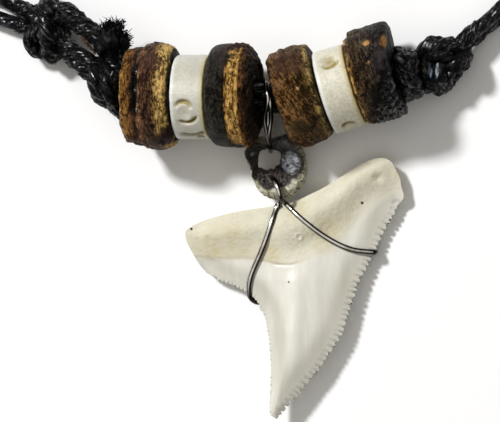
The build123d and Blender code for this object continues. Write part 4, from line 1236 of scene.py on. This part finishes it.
def tooth_surface(points):
    """Upper and lower height, the share of enamel, the way to the rim, and the seam of root and enamel."""
    py = back_to_photo_y(points)
    to_rim, _ = near(points, coarse["root_rim"])
    to_right, along_right = near(points, coarse["right"])
    to_left, along_left = near(points, coarse["left"])
    to_end, _ = near(points, root_end)
    within = inside(points, smooth_outline)
    to_right = np.where(within | (to_right > 0.5), to_right + CUSP, np.clip(CUSP - to_right, 0, CUSP))
    to_left = np.where(within | (to_left > 0.5), to_left + CUSP, np.clip(CUSP - to_left, 0, CUSP))
    in_root = ~inside(points, far_from_root)
    level = edge_level(py)
    plan = np.column_stack([points, np.zeros(len(points))])

    # the blade: two facets that meet in a soft rib
    left_wide = np.interp(py, [262, 285, 330, 370, 405, 420], [6.4, 5.9, 3.3, 2.0, 0.95, 0.4])
    right_wide = np.interp(py, [262, 285, 330, 370, 405, 420], [6.6, 6.7, 5.4, 3.5, 1.2, 0.5])
    thick = np.interp(py, [180, 230, 262, 290, 330, 370, 405, 420], [0.9, 1.45, 2.05, 2.05, 1.8, 1.4, 0.85, 0.35])
    q1, q2 = to_left / left_wide, to_right / right_wide
    keen = 14.0
    roof = -np.log(np.exp(-keen * q1) + np.exp(-keen * q2) + math.exp(-keen)) / keen
    roof = np.clip(roof + 0.02, 0, 1)
    blade = level + thick * (1 - (1 - roof) ** 1.4)
    x = points[:, 0]
    rib_x = np.interp(py, [262, 300, 345, 375, 400, 418], [5.6, 5.8, 5.8, 5.1, 3.9, 3.1])
    blade += 0.16 * bell(x, rib_x, 0.9) * step_up(py, 268, 290) * step_up(-py, -400, -360)
    blade -= 0.08 * bell(py, 266, 12) * bell(x, 3.5, 2.4)

    # the root: swollen lobes with round rims and a step down to the enamel
    swell = np.interp(x, [-8, -5, 0, 4, 8, 13, 17.5], [1.4, 2.1, 2.5, 2.5, 2.3, 2.1, 1.5])
    swell += 0.25 * bell(x, 5.2, 2.3) * bell(points[:, 1], -2.6, 2.6)
    swell -= 0.35 * bell(x, 3.3, 0.55) * bell(points[:, 1], -0.6, 1.6)
    rim = np.clip(to_rim / 2.6, 0, 1)
    lower = np.clip(to_end / 4.2, 0, 1)
    round_rim = np.sqrt(np.clip(1 - (1 - rim) ** 2, 0, 1))
    foot = (0.3 - 0.3 * step_up(x, 6.0, 10.0)) * (1 - np.sin(lower * math.pi / 2)) + np.sin(lower * math.pi / 2)
    bark = level + swell * round_rim * foot
    bark += 0.09 * rough_lumps(plan, 2.8, 2, 61) * round_rim
    bark += 0.012 * rough_lumps(plan, 0.5, 3, 63) * round_rim
    wrinkles = bell(x, 9.2, 1.8) * bell(py, 234, 16) + 0.6 * bell(x, 2.6, 1.2) * bell(py, 255, 8)
    bark -= 0.08 * wrinkles * np.clip(rough_lumps(plan * (2.2, 0.9, 1), 0.9, 3, 64), 0, 1)
    for px, row, wide, deep in ((377, 178, 0.5, 0.4), (361, 203, 0.12, 0.3), (191, 229, 0.15, 0.3)):
        centre = seen(px, row, 3.6)
        bark -= deep * bell(np.hypot(x - centre[0], points[:, 1] - centre[1]), 0, wide)
    centre = seen(298, 237, 4.5)
    pore = np.hypot(x - centre[0], points[:, 1] - centre[1])
    bark += 0.1 * bell(pore, 0.36, 0.13) - 0.12 * bell(pore, 0, 0.18)
    pits = np.clip(lumps(plan, 0.45, 66) - 0.62, 0, 1) * step_up(to_rim, 0.3, 0.8)
    bark -= 0.2 * pits

    signed = np.where(in_root, to_end, -to_end) + 0.16 * rough_lumps(plan, 1.5, 3, 75)
    soft = 0.4 + 0.9 * step_up(x, 6.0, 9.0)
    root_share = step_up(signed, -soft, soft)
    merged = (bark + blade + 0.05 + np.sqrt((bark - blade - 0.05) ** 2 + 0.3)) / 2 - 0.13
    top = blade * (1 - root_share) + np.maximum(merged, blade) * root_share
    top -= 0.06 * bell(to_end, 0, 0.16) * bell(x, 3.7, 2.2)

    # saw notches run a little way in from the edges
    for away, along, phase_line, reach, cut in (
            (to_right, along_right, right_phase, 0.9, 0.3), (to_left, along_left, left_phase, 0.6, 0.14)):
        phase = np.interp(along, np.arange(len(phase_line)) * EDGE_STEP, phase_line)
        notch = cut * (1 - phase) ** 1.5 * np.clip(1 - away / reach, 0, 1) * (1 - root_share)
        top -= np.minimum(notch, 0.7 * np.clip(top - level, 0, 1))
    top += 0.006 * lumps(plan * (2.2, 0.25, 1), 0.5, 71) * (1 - root_share)
    border_gap = np.minimum(np.minimum(to_rim, to_right), to_left)
    top = np.maximum(top, level + 0.02 * step_up(border_gap, 0, 0.1))
    seam = bell(signed, 0.05, 0.16) * (0.5 - 0.35 * step_up(x, 6.0, 8.0) + 0.4 * bell(x, 3.7, 2.4))

    # below: the root rests on the surface and the blade hangs clear of it
    under_root = level - (level - 0.03) * np.sqrt(np.clip(1 - (1 - np.clip(to_rim / 1.3, 0, 1)) ** 2, 0, 1))
    under_blade = level - 0.42 * thick * (1 - (1 - roof) ** 1.75)
    deep = step_up(signed, -1.4, 1.2)
    bottom = under_blade * (1 - deep) + np.minimum(under_root, under_blade) * deep
    return top, bottom, 1 - root_share, border_gap, seam


def tooth_height(px, py):
    """The height of the tooth's face under a place in the photo."""
    height = 3.0
    for _ in range(4):
        point = seen(px, py, height)[:2][None]
        height = float(tooth_surface(point)[0][0])
    return height


# %% [markdown]
# The face is triangulated from the outline and a fine grid of places inside it, and the back
# from the same outline and a coarser grid, so both meet in one sharp rim.

# %% Tooth mesh
def fill_outline(step, seed):
    """Triangles over the tooth's plan, with inner places about a step apart."""
    rng = np.random.default_rng(seed)
    low, high = border.min(0), border.max(0)
    xs, ys = np.arange(low[0], high[0], step), np.arange(low[1], high[1], step * 0.87)
    grid = np.stack(np.meshgrid(xs, ys, indexing="ij"), -1)
    grid[:, ::2, 0] += step / 2
    grid = grid.reshape(-1, 2) + rng.uniform(-0.12, 0.12, (grid.shape[0] * grid.shape[1], 2)) * step
    grid = grid[inside(grid, border)]
    gap, _ = near(grid, np.vstack([border, border[:1]])[::2])
    grid = grid[gap > min(step * 0.6, 0.16)]
    places = [Vector(p) for p in np.vstack([border, grid])]
    loop = list(range(len(border)))
    found = geometry.delaunay_2d_cdt(places, [], [loop], 1, 1e-6)
    return np.array([tuple(p) for p in found[0]]), [list(face) for face in found[2]]


FACE_STEP, BACK_STEP = 0.13, 0.5
face_plan, face_triangles = fill_outline(FACE_STEP, 1)
back_plan, back_triangles = fill_outline(BACK_STEP, 2)
top, _, enamel_share, rim_gap, face_seam = tooth_surface(face_plan)
_, bottom, back_enamel, back_gap, back_seam = tooth_surface(back_plan)
points = np.vstack([np.column_stack([face_plan, top]), np.column_stack([back_plan, bottom])])
offset = len(face_plan)
rim_lookup = {tuple(np.round(p, 5)): i for i, p in enumerate(face_plan)}
back_keys = [tuple(np.round(p, 5)) for p in back_plan]
weld = {offset + i: rim_lookup[key] for i, key in enumerate(back_keys) if key in rim_lookup}
triangles = face_triangles + [[weld.get(offset + i, offset + i) for i in reversed(face)] for face in back_triangles]
keep = np.unique(np.concatenate([np.ravel(t) for t in triangles]))
renumber = {int(old): new for new, old in enumerate(keep)}
triangles = [[renumber[i] for i in t] for t in triangles]
tooth_values = {
    "enamel": np.concatenate([enamel_share, back_enamel])[keep],
    "rim_gap": np.concatenate([rim_gap, back_gap])[keep],
    "seam": np.concatenate([face_seam, back_seam])[keep],
}
print("tooth", len(keep), "points,", len(triangles), "triangles,", len(weld), "shared at the rim")

# %% [markdown]
# Enamel is glossy and nearly white where it is thick, and greyer towards its thin edges. The root is
# matte and ivory, with ochre where grease and sand have stained it, and fine dark pores.

# %% Tooth material
OCHRE_SPOTS = [  # place in the photo, radius, strength
    (296, 208, 1.2, 0.6), (328, 234, 1.9, 0.75), (268, 254, 1.1, 0.85), (327, 253, 1.2, 0.7), (377, 178, 0.75, 1.0),
    (228, 247, 2.4, 0.6), (204, 249, 1.6, 0.5), (345, 215, 1.8, 0.25)]
DARK_PITS = [(361, 203, 0.11), (289, 282, 0.07), (190.5, 229, 0.1)]

tooth_surface_material, tree, shader = new_material("tooth")
place = place_in_mm(tree)
enamel, to_edge = kept(tree, "enamel", "Fac"), kept(tree, "rim_gap", "Fac")
ivory = use(tree, MOTTLE, Place=place, Size=3.2, Dark=paint(210, 205, 182), Light=paint(221, 217, 197), Soft=0.3)
grain = use(tree, MOTTLE, Place=place, Size=0.45, Dark=paint(232, 230, 218), Light=paint(255, 255, 254), Soft=0.25)
root_colour = mix(tree, 0.35, ivory["Color"], grain["Color"], "MULTIPLY")
ochre = use(tree, MOTTLE, Place=place, Size=1.5, Soft=0.12)["Height"]
for px, py, radius, strength in OCHRE_SPOTS:
    mask = stain(tree, place, tuple(seen(px, py, 4.0)), radius * 1.6, 1.2)
    blotch = times(tree, mask, plus(tree, times(tree, ochre, 0.35), 0.2))
    root_colour = mix(tree, times(tree, blotch, strength), root_colour, paint(190, 170, 112))
root_pores = pores(tree, place, 0.8, 0.12, 0.25)
root_colour = mix(tree, times(tree, root_pores, 0.3), root_colour, paint(150, 128, 90))
milk = use(tree, MOTTLE, Place=stretched(tree, place, 1.0, 0.22, 1.0), Size=1.6, Dark=paint(236, 235, 231),
           Light=paint(255, 255, 255), Soft=0.3)
thick_part = mix(tree, between(tree, to_edge, 1.7, 3.2), paint(210, 207, 195), paint(235, 233, 223))
enamel_colour = mix(tree, between(tree, to_edge, 0.5, 1.5), paint(221, 219, 207), thick_part)
enamel_colour = mix(tree, 1.0, enamel_colour, milk["Color"], "MULTIPLY")
colour = mix(tree, enamel, root_colour, enamel_colour)
# A brown line is painted along the seam of root and enamel: partly brown stain, partly painted shade on the step down
# from the root.
brown = use(tree, MOTTLE, Place=place, Size=0.8, Soft=0.2)["Height"]
seam = times(tree, kept(tree, "seam", "Fac"), plus(tree, times(tree, brown, 0.45), 0.2))
colour = mix(tree, seam, colour, paint(158, 136, 92))
flat = stretched(tree, place, 1, 1, 0)
for px, py, radius in DARK_PITS:
    x, y, _ = seen(px, py, 3.6)
    colour = mix(tree, stain(tree, flat, (x, y, 0), radius * 2, 0.1), colour, paint(46, 38, 30))
dress(tree, shader, Base_Color=colour, Roughness=between(tree, enamel, 0.0, 1.0, 0.62, 0.26),
      Coat_Weight=between(tree, enamel, 0.2, 1.0, 0.0, 0.35))
root_height = maths(tree, "SUBTRACT", grain["Height"], root_pores)
bump(tree, shader, times(tree, root_height, maths(tree, "SUBTRACT", 1.0, enamel)), 0.035)
mesh_piece("shark_tooth_body", points[keep], triangles, [tooth_surface_material], tooth_values,
           "tooth", "shark_tooth", sharp=50)

# %% [markdown]
# ## The wires
#
# One bright steel wire goes through the ring, down both sides of the tooth's face and round
# behind its neck. Another makes the bail. The wire's colour is painted light on the side that
# faces the lamp at the upper left and dark on its flanks, a painted highlight and painted shade
# which draw a dark line along both edges.

# %% Wires
steel_wire, tree, shader = new_material("steel_wire")
strand = kept(tree, "strand")
drawn = noise(tree, stretched(tree, strand, 0.4, 6.0, 1.0), 1.0, 3.0)
tarnish = noise(tree, world_place(tree), 500.0, 3.0)
bright = mix(tree, between(tree, tarnish, 0.45, 0.7), paint(252, 249, 244), paint(206, 196, 186))
facing = put(tree, "ShaderNodeSeparateXYZ", Vector=put(tree, "ShaderNodeNewGeometry").outputs["Normal"]).outputs
# Painted highlight and shade: the colour turns light where the surface faces up and left, towards the lamp, and dark
# on the flanks.
painted_light_side = maths(tree, "SUBTRACT", facing[2], times(tree, facing[0], 0.25))
dress(tree, shader, Base_Color=mix(tree, between(tree, painted_light_side, 0.7, 0.98), paint(48, 42, 38), bright),
      Metallic=1.0, Roughness=between(tree, drawn, 0.3, 0.7, 0.1, 0.2))
bump(tree, shader, drawn, 0.012)
TOOTH_WIRE, BAIL_WIRE = 0.6, 0.5


def wire_piece(name, node, route, diameter):
    """A wire along its route."""
    body = sweep(smooth_line(route, 0.12), lambda along, angle: np.full_like(along, diameter / 2), 16)
    strand_piece(name, body, [steel_wire], "steel_wire", node)


def on_tooth(px, py):
    """A place just off the tooth's face for its wire to lie in."""
    return seen(px, py, tooth_height(px, py) + TOOTH_WIRE / 2 + 0.02)


right_strand = [on_tooth(*p) for p in [(371, 252), (350, 250), (326, 238), (301, 219), (285, 203)]]
left_strand = [on_tooth(*p) for p in [(277, 206), (271, 224), (262, 250), (250, 276), (248, 292)]]
print("wire heights", [round(p[2], 1) for p in right_strand], [round(p[2], 1) for p in left_strand])
behind_neck = [(5.4, -9.4, 0.45), (10.0, -7.2, 0.45), (13.9, -5.2, 0.6), (15.0, -4.8, 1.0), (15.1, -4.8, 1.9)]
up_to_ring = [seen(*p) for p in [(281, 199, 5.2), (278, 189, 5.6), (275, 180, 5.0)]]
through_ring = [
    (2.95, 3.9, 3.4), (2.95, 4.3, 1.3), (3.1, 3.2, 0.62), (3.6, 1.7, 0.7), (3.9, 0.75, 1.6), (3.75, 0.7, 3.6)]
back_round = [seen(251, 299, 2.0), seen(257, 303, 1.0), (2.0, -10.6, 0.6), (5.0, -9.6, 0.45)]
wire_piece("tooth_wire_strand", "tooth_wire",
           [*behind_neck, *right_strand, *up_to_ring, *through_ring, *left_strand, *back_round], TOOTH_WIRE)
hidden_before = [(2.7, 11.9, 4.0), (2.9, 14.1, 4.2)]
hidden_after = [(2.9, 6.95, 3.6), (2.8, 7.0, 1.6), (2.6, 8.6, 1.8), (2.6, 9.2, 3.4)]
near_turn = [seen(*p) for p in [
    (265.5, 80.5, 6.2), (266, 88, 8.5), (269, 100, 8.9), (264, 117, 7.6), (266.5, 132, 6.8), (270, 145, 6.0)]]
far_turn = [seen(*p) for p in [
    (268.5, 82, 6.2), (269, 91, 8.3), (270.5, 103, 8.7), (271.5, 119, 7.4), (269, 134, 6.7), (269, 145, 5.9)]]
wire_piece("bail_wire", "bail_link",
           [*hidden_before, *near_turn, *hidden_after, *hidden_before, *far_turn, *hidden_after], BAIL_WIRE)

# %% [markdown]
# ## The cut tail and its tuft
#
# The cord's cut end sticks out beside the left knots. Its plies have opened into a dark shaggy
# tuft, and a few fibres on its lower side are singed brown.

# %% Tail and tuft
def lint_material(name, grain, low, high, dark, light, **finish):
    """Matt loose fibre whose shade changes in small patches."""
    material, tree, shader = new_material(name)
    dust = noise(tree, world_place(tree), grain, 2.0)
    dress(tree, shader, Base_Color=mix(tree, between(tree, dust, low, high), dark, light), **finish)
    bump(tree, shader, dust, 0.01)
    return material


tuft_lint = lint_material("tuft_lint", 1500.0, 0.5, 0.8, paint(4, 4, 5), paint(20, 20, 24), Roughness=0.5,
                          Specular_IOR_Level=0.12)
singed_lint = lint_material("singed_lint", 1400.0, 0.4, 0.65, paint(26, 16, 11), paint(98, 66, 38), Roughness=0.6)


FIBRE_RINGS = 6


def fibres(roots, directions, lengths, radii, curl, rng, sides=3, floor=0.03):
    """Many tapered fibres as one body, with their lines kept above the surface by the floor's height."""
    count = len(roots)
    t = np.linspace(0, 1, FIBRE_RINGS)
    bend, wave = rng.normal(0, 1, (count, 3)), rng.normal(0, 1, (count, 3))
    lines = (roots[:, None] + directions[:, None] * (lengths[:, None] * t)[..., None]
             + bend[:, None] * (curl * lengths[:, None] * t**2)[..., None]
             + wave[:, None] * (curl * 0.5 * lengths[:, None] * np.sin(t * 5))[..., None])
    lines[..., 2] = np.maximum(lines[..., 2], floor)
    side = np.cross(directions, rng.normal(0, 1, (count, 3)))
    side /= np.linalg.norm(side, axis=1)[:, None]
    other = np.cross(directions, side)
    angle = np.arange(sides) * 2 * math.pi / sides
    spokes = np.cos(angle)[None, :, None] * side[:, None] + np.sin(angle)[None, :, None] * other[:, None]
    thin = radii[:, None] * (1 - 0.85 * t)
    points = (lines[:, :, None] + thin[..., None, None] * spokes[:, None]).reshape(-1, 3)
    per = FIBRE_RINGS * sides
    faces = (quads(FIBRE_RINGS, sides)[None] + (np.arange(count) * per)[:, None, None]).reshape(-1, 4).tolist()
    caps = np.arange(count)[:, None] * per + np.arange(sides)[None]
    faces += caps[:, ::-1].tolist() + (caps + per - sides).tolist()
    strand = np.stack([np.ones(count), rng.uniform(0, 6, count), radii], 1)
    return points, faces, np.repeat(strand, per, 0)


def directions_of(ways):
    """The ways with a length of 1, and how long they were."""
    lengths = np.linalg.norm(ways, axis=1)
    return ways / lengths[:, None], lengths


rng = np.random.default_rng(11)
tail_line = smooth_line([seen(*p) for p in [
    (60, 16, 4.6), (71, 19, 5.4), (84, 27, 5.9), (96, 36, 6.2), (104, 42, 6.2)]], 0.22)
cord_lines.append((tail_line, 1.0, 2.0))
tail = cord_body(tail_line, 2.1, seed=1.0, valley=0.28, twist=6.0, dent=0.16, around=40)
tuft_middle = seen(111, 43, 6.0)
core_line = smooth_line([seen(*p) for p in [(95, 38, 6.1), (104, 42, 6.1), (113, 45, 6.0), (122, 45, 6.0)]], 0.22)


def tuft_core(along, angle):
    """A rough, swollen body under the fibres."""
    whole = along.max()
    swell = np.sin(np.clip(along / whole, 0, 1) * math.pi) ** 0.6
    dents = rough_lumps(np.stack([along, 2 * np.cos(angle), 2 * np.sin(angle)], -1), 0.7, 3, 91)
    return 0.35 + swell * (1.5 + 0.6 * dents)


core = sweep(core_line, tuft_core, 40)
count = 1500
fan, _ = directions_of(rng.normal(0, 1, (count, 3)))
outward, _ = directions_of(fan * (1.0, 1.0, 0.75) + (0.35, -0.1, 0.0))
roots = tuft_middle + fan * (1.5, 1.5, 1.0) * rng.uniform(0.3, 1.0, (count, 1))
shag_lengths, shag_radii = rng.uniform(0.2, 0.55, count), rng.uniform(0.08, 0.16, count)
shag = fibres(roots, outward, shag_lengths, shag_radii, curl=0.5, rng=rng, sides=4, floor=0.1)
wisp_places = [(108, 25), (112, 22), (117, 23), (120, 22), (121, 29), (127, 35), (129, 41), (127, 47), (124, 53),
               (121, 60), (116, 66), (104, 25), (97, 29)]
WISPS_EACH = 34
clumps = []
for number, (px, py) in enumerate(wisp_places):
    def clump(along, angle):
        """A pointed bundle of fibres under the loose ones."""
        dents = rough_lumps(np.stack([along, np.cos(angle), np.sin(angle)], -1), 0.5, 3, number)
        return 0.62 - 0.4 * (along / along.max()) ** 2 + 0.2 * dents
    clump_line = smooth_line([tuft_middle, (tuft_middle + seen(px, py, 6.4)) / 2, seen(px, py, 5.8)], 0.2)
    clumps.append(sweep(clump_line, clump, 18))
wisp_roots, wisp_ways = [], []
for px, py in wisp_places:
    for _ in range(WISPS_EACH):
        target = seen(px + rng.normal(0, 1.9), py + rng.normal(0, 1.9), 6.0 + rng.normal(0, 0.5))
        root = tuft_middle + (target - tuft_middle) * rng.uniform(0.6, 0.9) + rng.normal(0, 0.2, 3)
        wisp_roots.append(root)
        wisp_ways.append(target - root)
wisp_ways, wisp_lengths = directions_of(np.array(wisp_ways))
wisp_radii = rng.uniform(0.1, 0.18, len(wisp_roots))
wisps = fibres(np.array(wisp_roots), wisp_ways, wisp_lengths, wisp_radii, curl=0.35, rng=rng, sides=4)
points, faces, strand = together([tail, core, *clumps, shag, wisps])
piece = mesh_piece("cut_tail_and_tuft", points, faces, [tuft_lint, waxed_cord], {"strand": strand}, "waxed_cord",
                   "cut_tail_left")
piece.data.polygons.foreach_set("material_index", [1] * len(tail[1]) + [0] * (len(faces) - len(tail[1])))

SINGED = 260
singe_roots = np.array([
    seen(82 + 14 * t + rng.normal(0, 0.4), 37 + 16 * t + rng.normal(0, 0.4), 6.3 + rng.normal(0, 0.2))
    for t in rng.uniform(0, 1, SINGED)])
singe_ways, _ = directions_of(seen(79, 45, 5.0) - seen(84, 38, 5.4) + rng.normal(0, 0.5, (SINGED, 3)))
points, faces, strand = fibres(singe_roots, singe_ways, rng.uniform(0.12, 0.32, SINGED),
                               rng.uniform(0.03, 0.06, SINGED), curl=0.4, rng=rng)
mesh_piece("singed_fibres", points, faces, [singed_lint], {"strand": strand}, "waxed_cord")
print("tuft fibres", count + len(wisp_roots), "singed", SINGED)

# %% [markdown]
# Fine cotton hairs stand off the whole cord, thicker on the knots, where handling has raised them.

# %% Stray fibres
HAIRS_PER_MM = 2.2
hair_roots, hair_ways = [], []
for line, radius, density in cord_lines:
    ahead, sides, ups = turning_frames(line)
    for _ in range(int(walk(line)[-1] * density * HAIRS_PER_MM)):
        k = rng.integers(1, len(line) - 1)
        angle = rng.uniform(0, 2 * math.pi)
        off = math.cos(angle) * sides[k] + math.sin(angle) * ups[k]
        hair_roots.append(line[k] + off * radius * 0.92)
        hair_ways.append(off * rng.uniform(0.3, 1.0) + ahead[k] * rng.normal(0, 0.9) + (0, 0, 0.1))
hair_ways, _ = directions_of(np.array(hair_ways))
count = len(hair_roots)
points, faces, strand = fibres(np.array(hair_roots), hair_ways, rng.uniform(0.25, 0.95, count),
                               rng.uniform(0.010, 0.02, count), curl=0.25, rng=rng)
mesh_piece("stray_fibres", points, faces, [tuft_lint], {"strand": strand}, "waxed_cord")
print("stray fibres", count)

# %% [markdown]
# ## The clasp
#
# The hidden clasp is one plain turned barrel of satin metal, with a groove where its two halves
# meet and a collar at each end, where the cords go in.

# %% Clasp
clasp_metal, tree, shader = new_material("clasp_metal")
place = kept(tree, "on_bead")
brushed = noise(tree, stretched(tree, place, 9.0, 1.2, 1.2), 1.0, 4.0)
worn = noise(tree, place, 0.5, 3.0)
satin = mix(tree, between(tree, worn, 0.4, 0.7), paint(188, 188, 190), paint(158, 156, 154))
dress(tree, shader, Base_Color=satin, Metallic=1.0, Roughness=between(tree, brushed, 0.3, 0.7, 0.26, 0.42))
bump(tree, shader, brushed, 0.015)
clasp_row = Row((-6.0, 158.0, 2.4), 0, 0)


def clasp_relief(station, turn, radius, local, on_wall):
    """Fine grip lines round both halves."""
    knurl = 0.05 * (np.abs(np.sin(turn * 20)) - 0.5) * (bell(station, 4.2, 1.4) + bell(station, 9.8, 1.4)) * on_wall
    return knurl, np.zeros_like(station)


turned_piece("barrel_clasp", "cord_clasp", clasp_row, 0.0,
             [(0.02, 1.75), (0.15, 1.95), (1.2, 2.0), (1.35, 2.3), (1.6, 2.38), (6.6, 2.38), (6.85, 2.2), (7.0, 2.05),
              (7.15, 2.2), (7.4, 2.38), (12.4, 2.38), (12.65, 2.3), (12.8, 2.0), (13.85, 1.95), (13.98, 1.75)],
             1.4, clasp_metal, clasp_relief, "clasp_metal", step=0.12, around=160)

# %% [markdown]
# The surface under the necklace is plain and white, as in the photo.

# %% Floor
white_floor, tree, shader = new_material("white_floor")
paper = noise(tree, world_place(tree), 60.0, 2.0)
dress(tree, shader, Base_Color=mix(tree, paper, (0.955, 0.955, 0.955, 1), (0.965, 0.965, 0.965, 1)), Roughness=0.9)
FLOOR_HALF = 700.0
floor_points = [(x * FLOOR_HALF, y * FLOOR_HALF, 0) for x, y in [(-1, -1), (1, -1), (1, 1), (-1, 1)]]
floor_mesh = bpy.data.meshes.new("floor")
floor_mesh.from_pydata([tuple(c * MM for c in p) for p in floor_points], [], [(0, 1, 2, 3)])
floor_mesh.materials.append(white_floor)
floor = bpy.data.objects.new("floor", floor_mesh)
scene.collection.objects.link(floor)
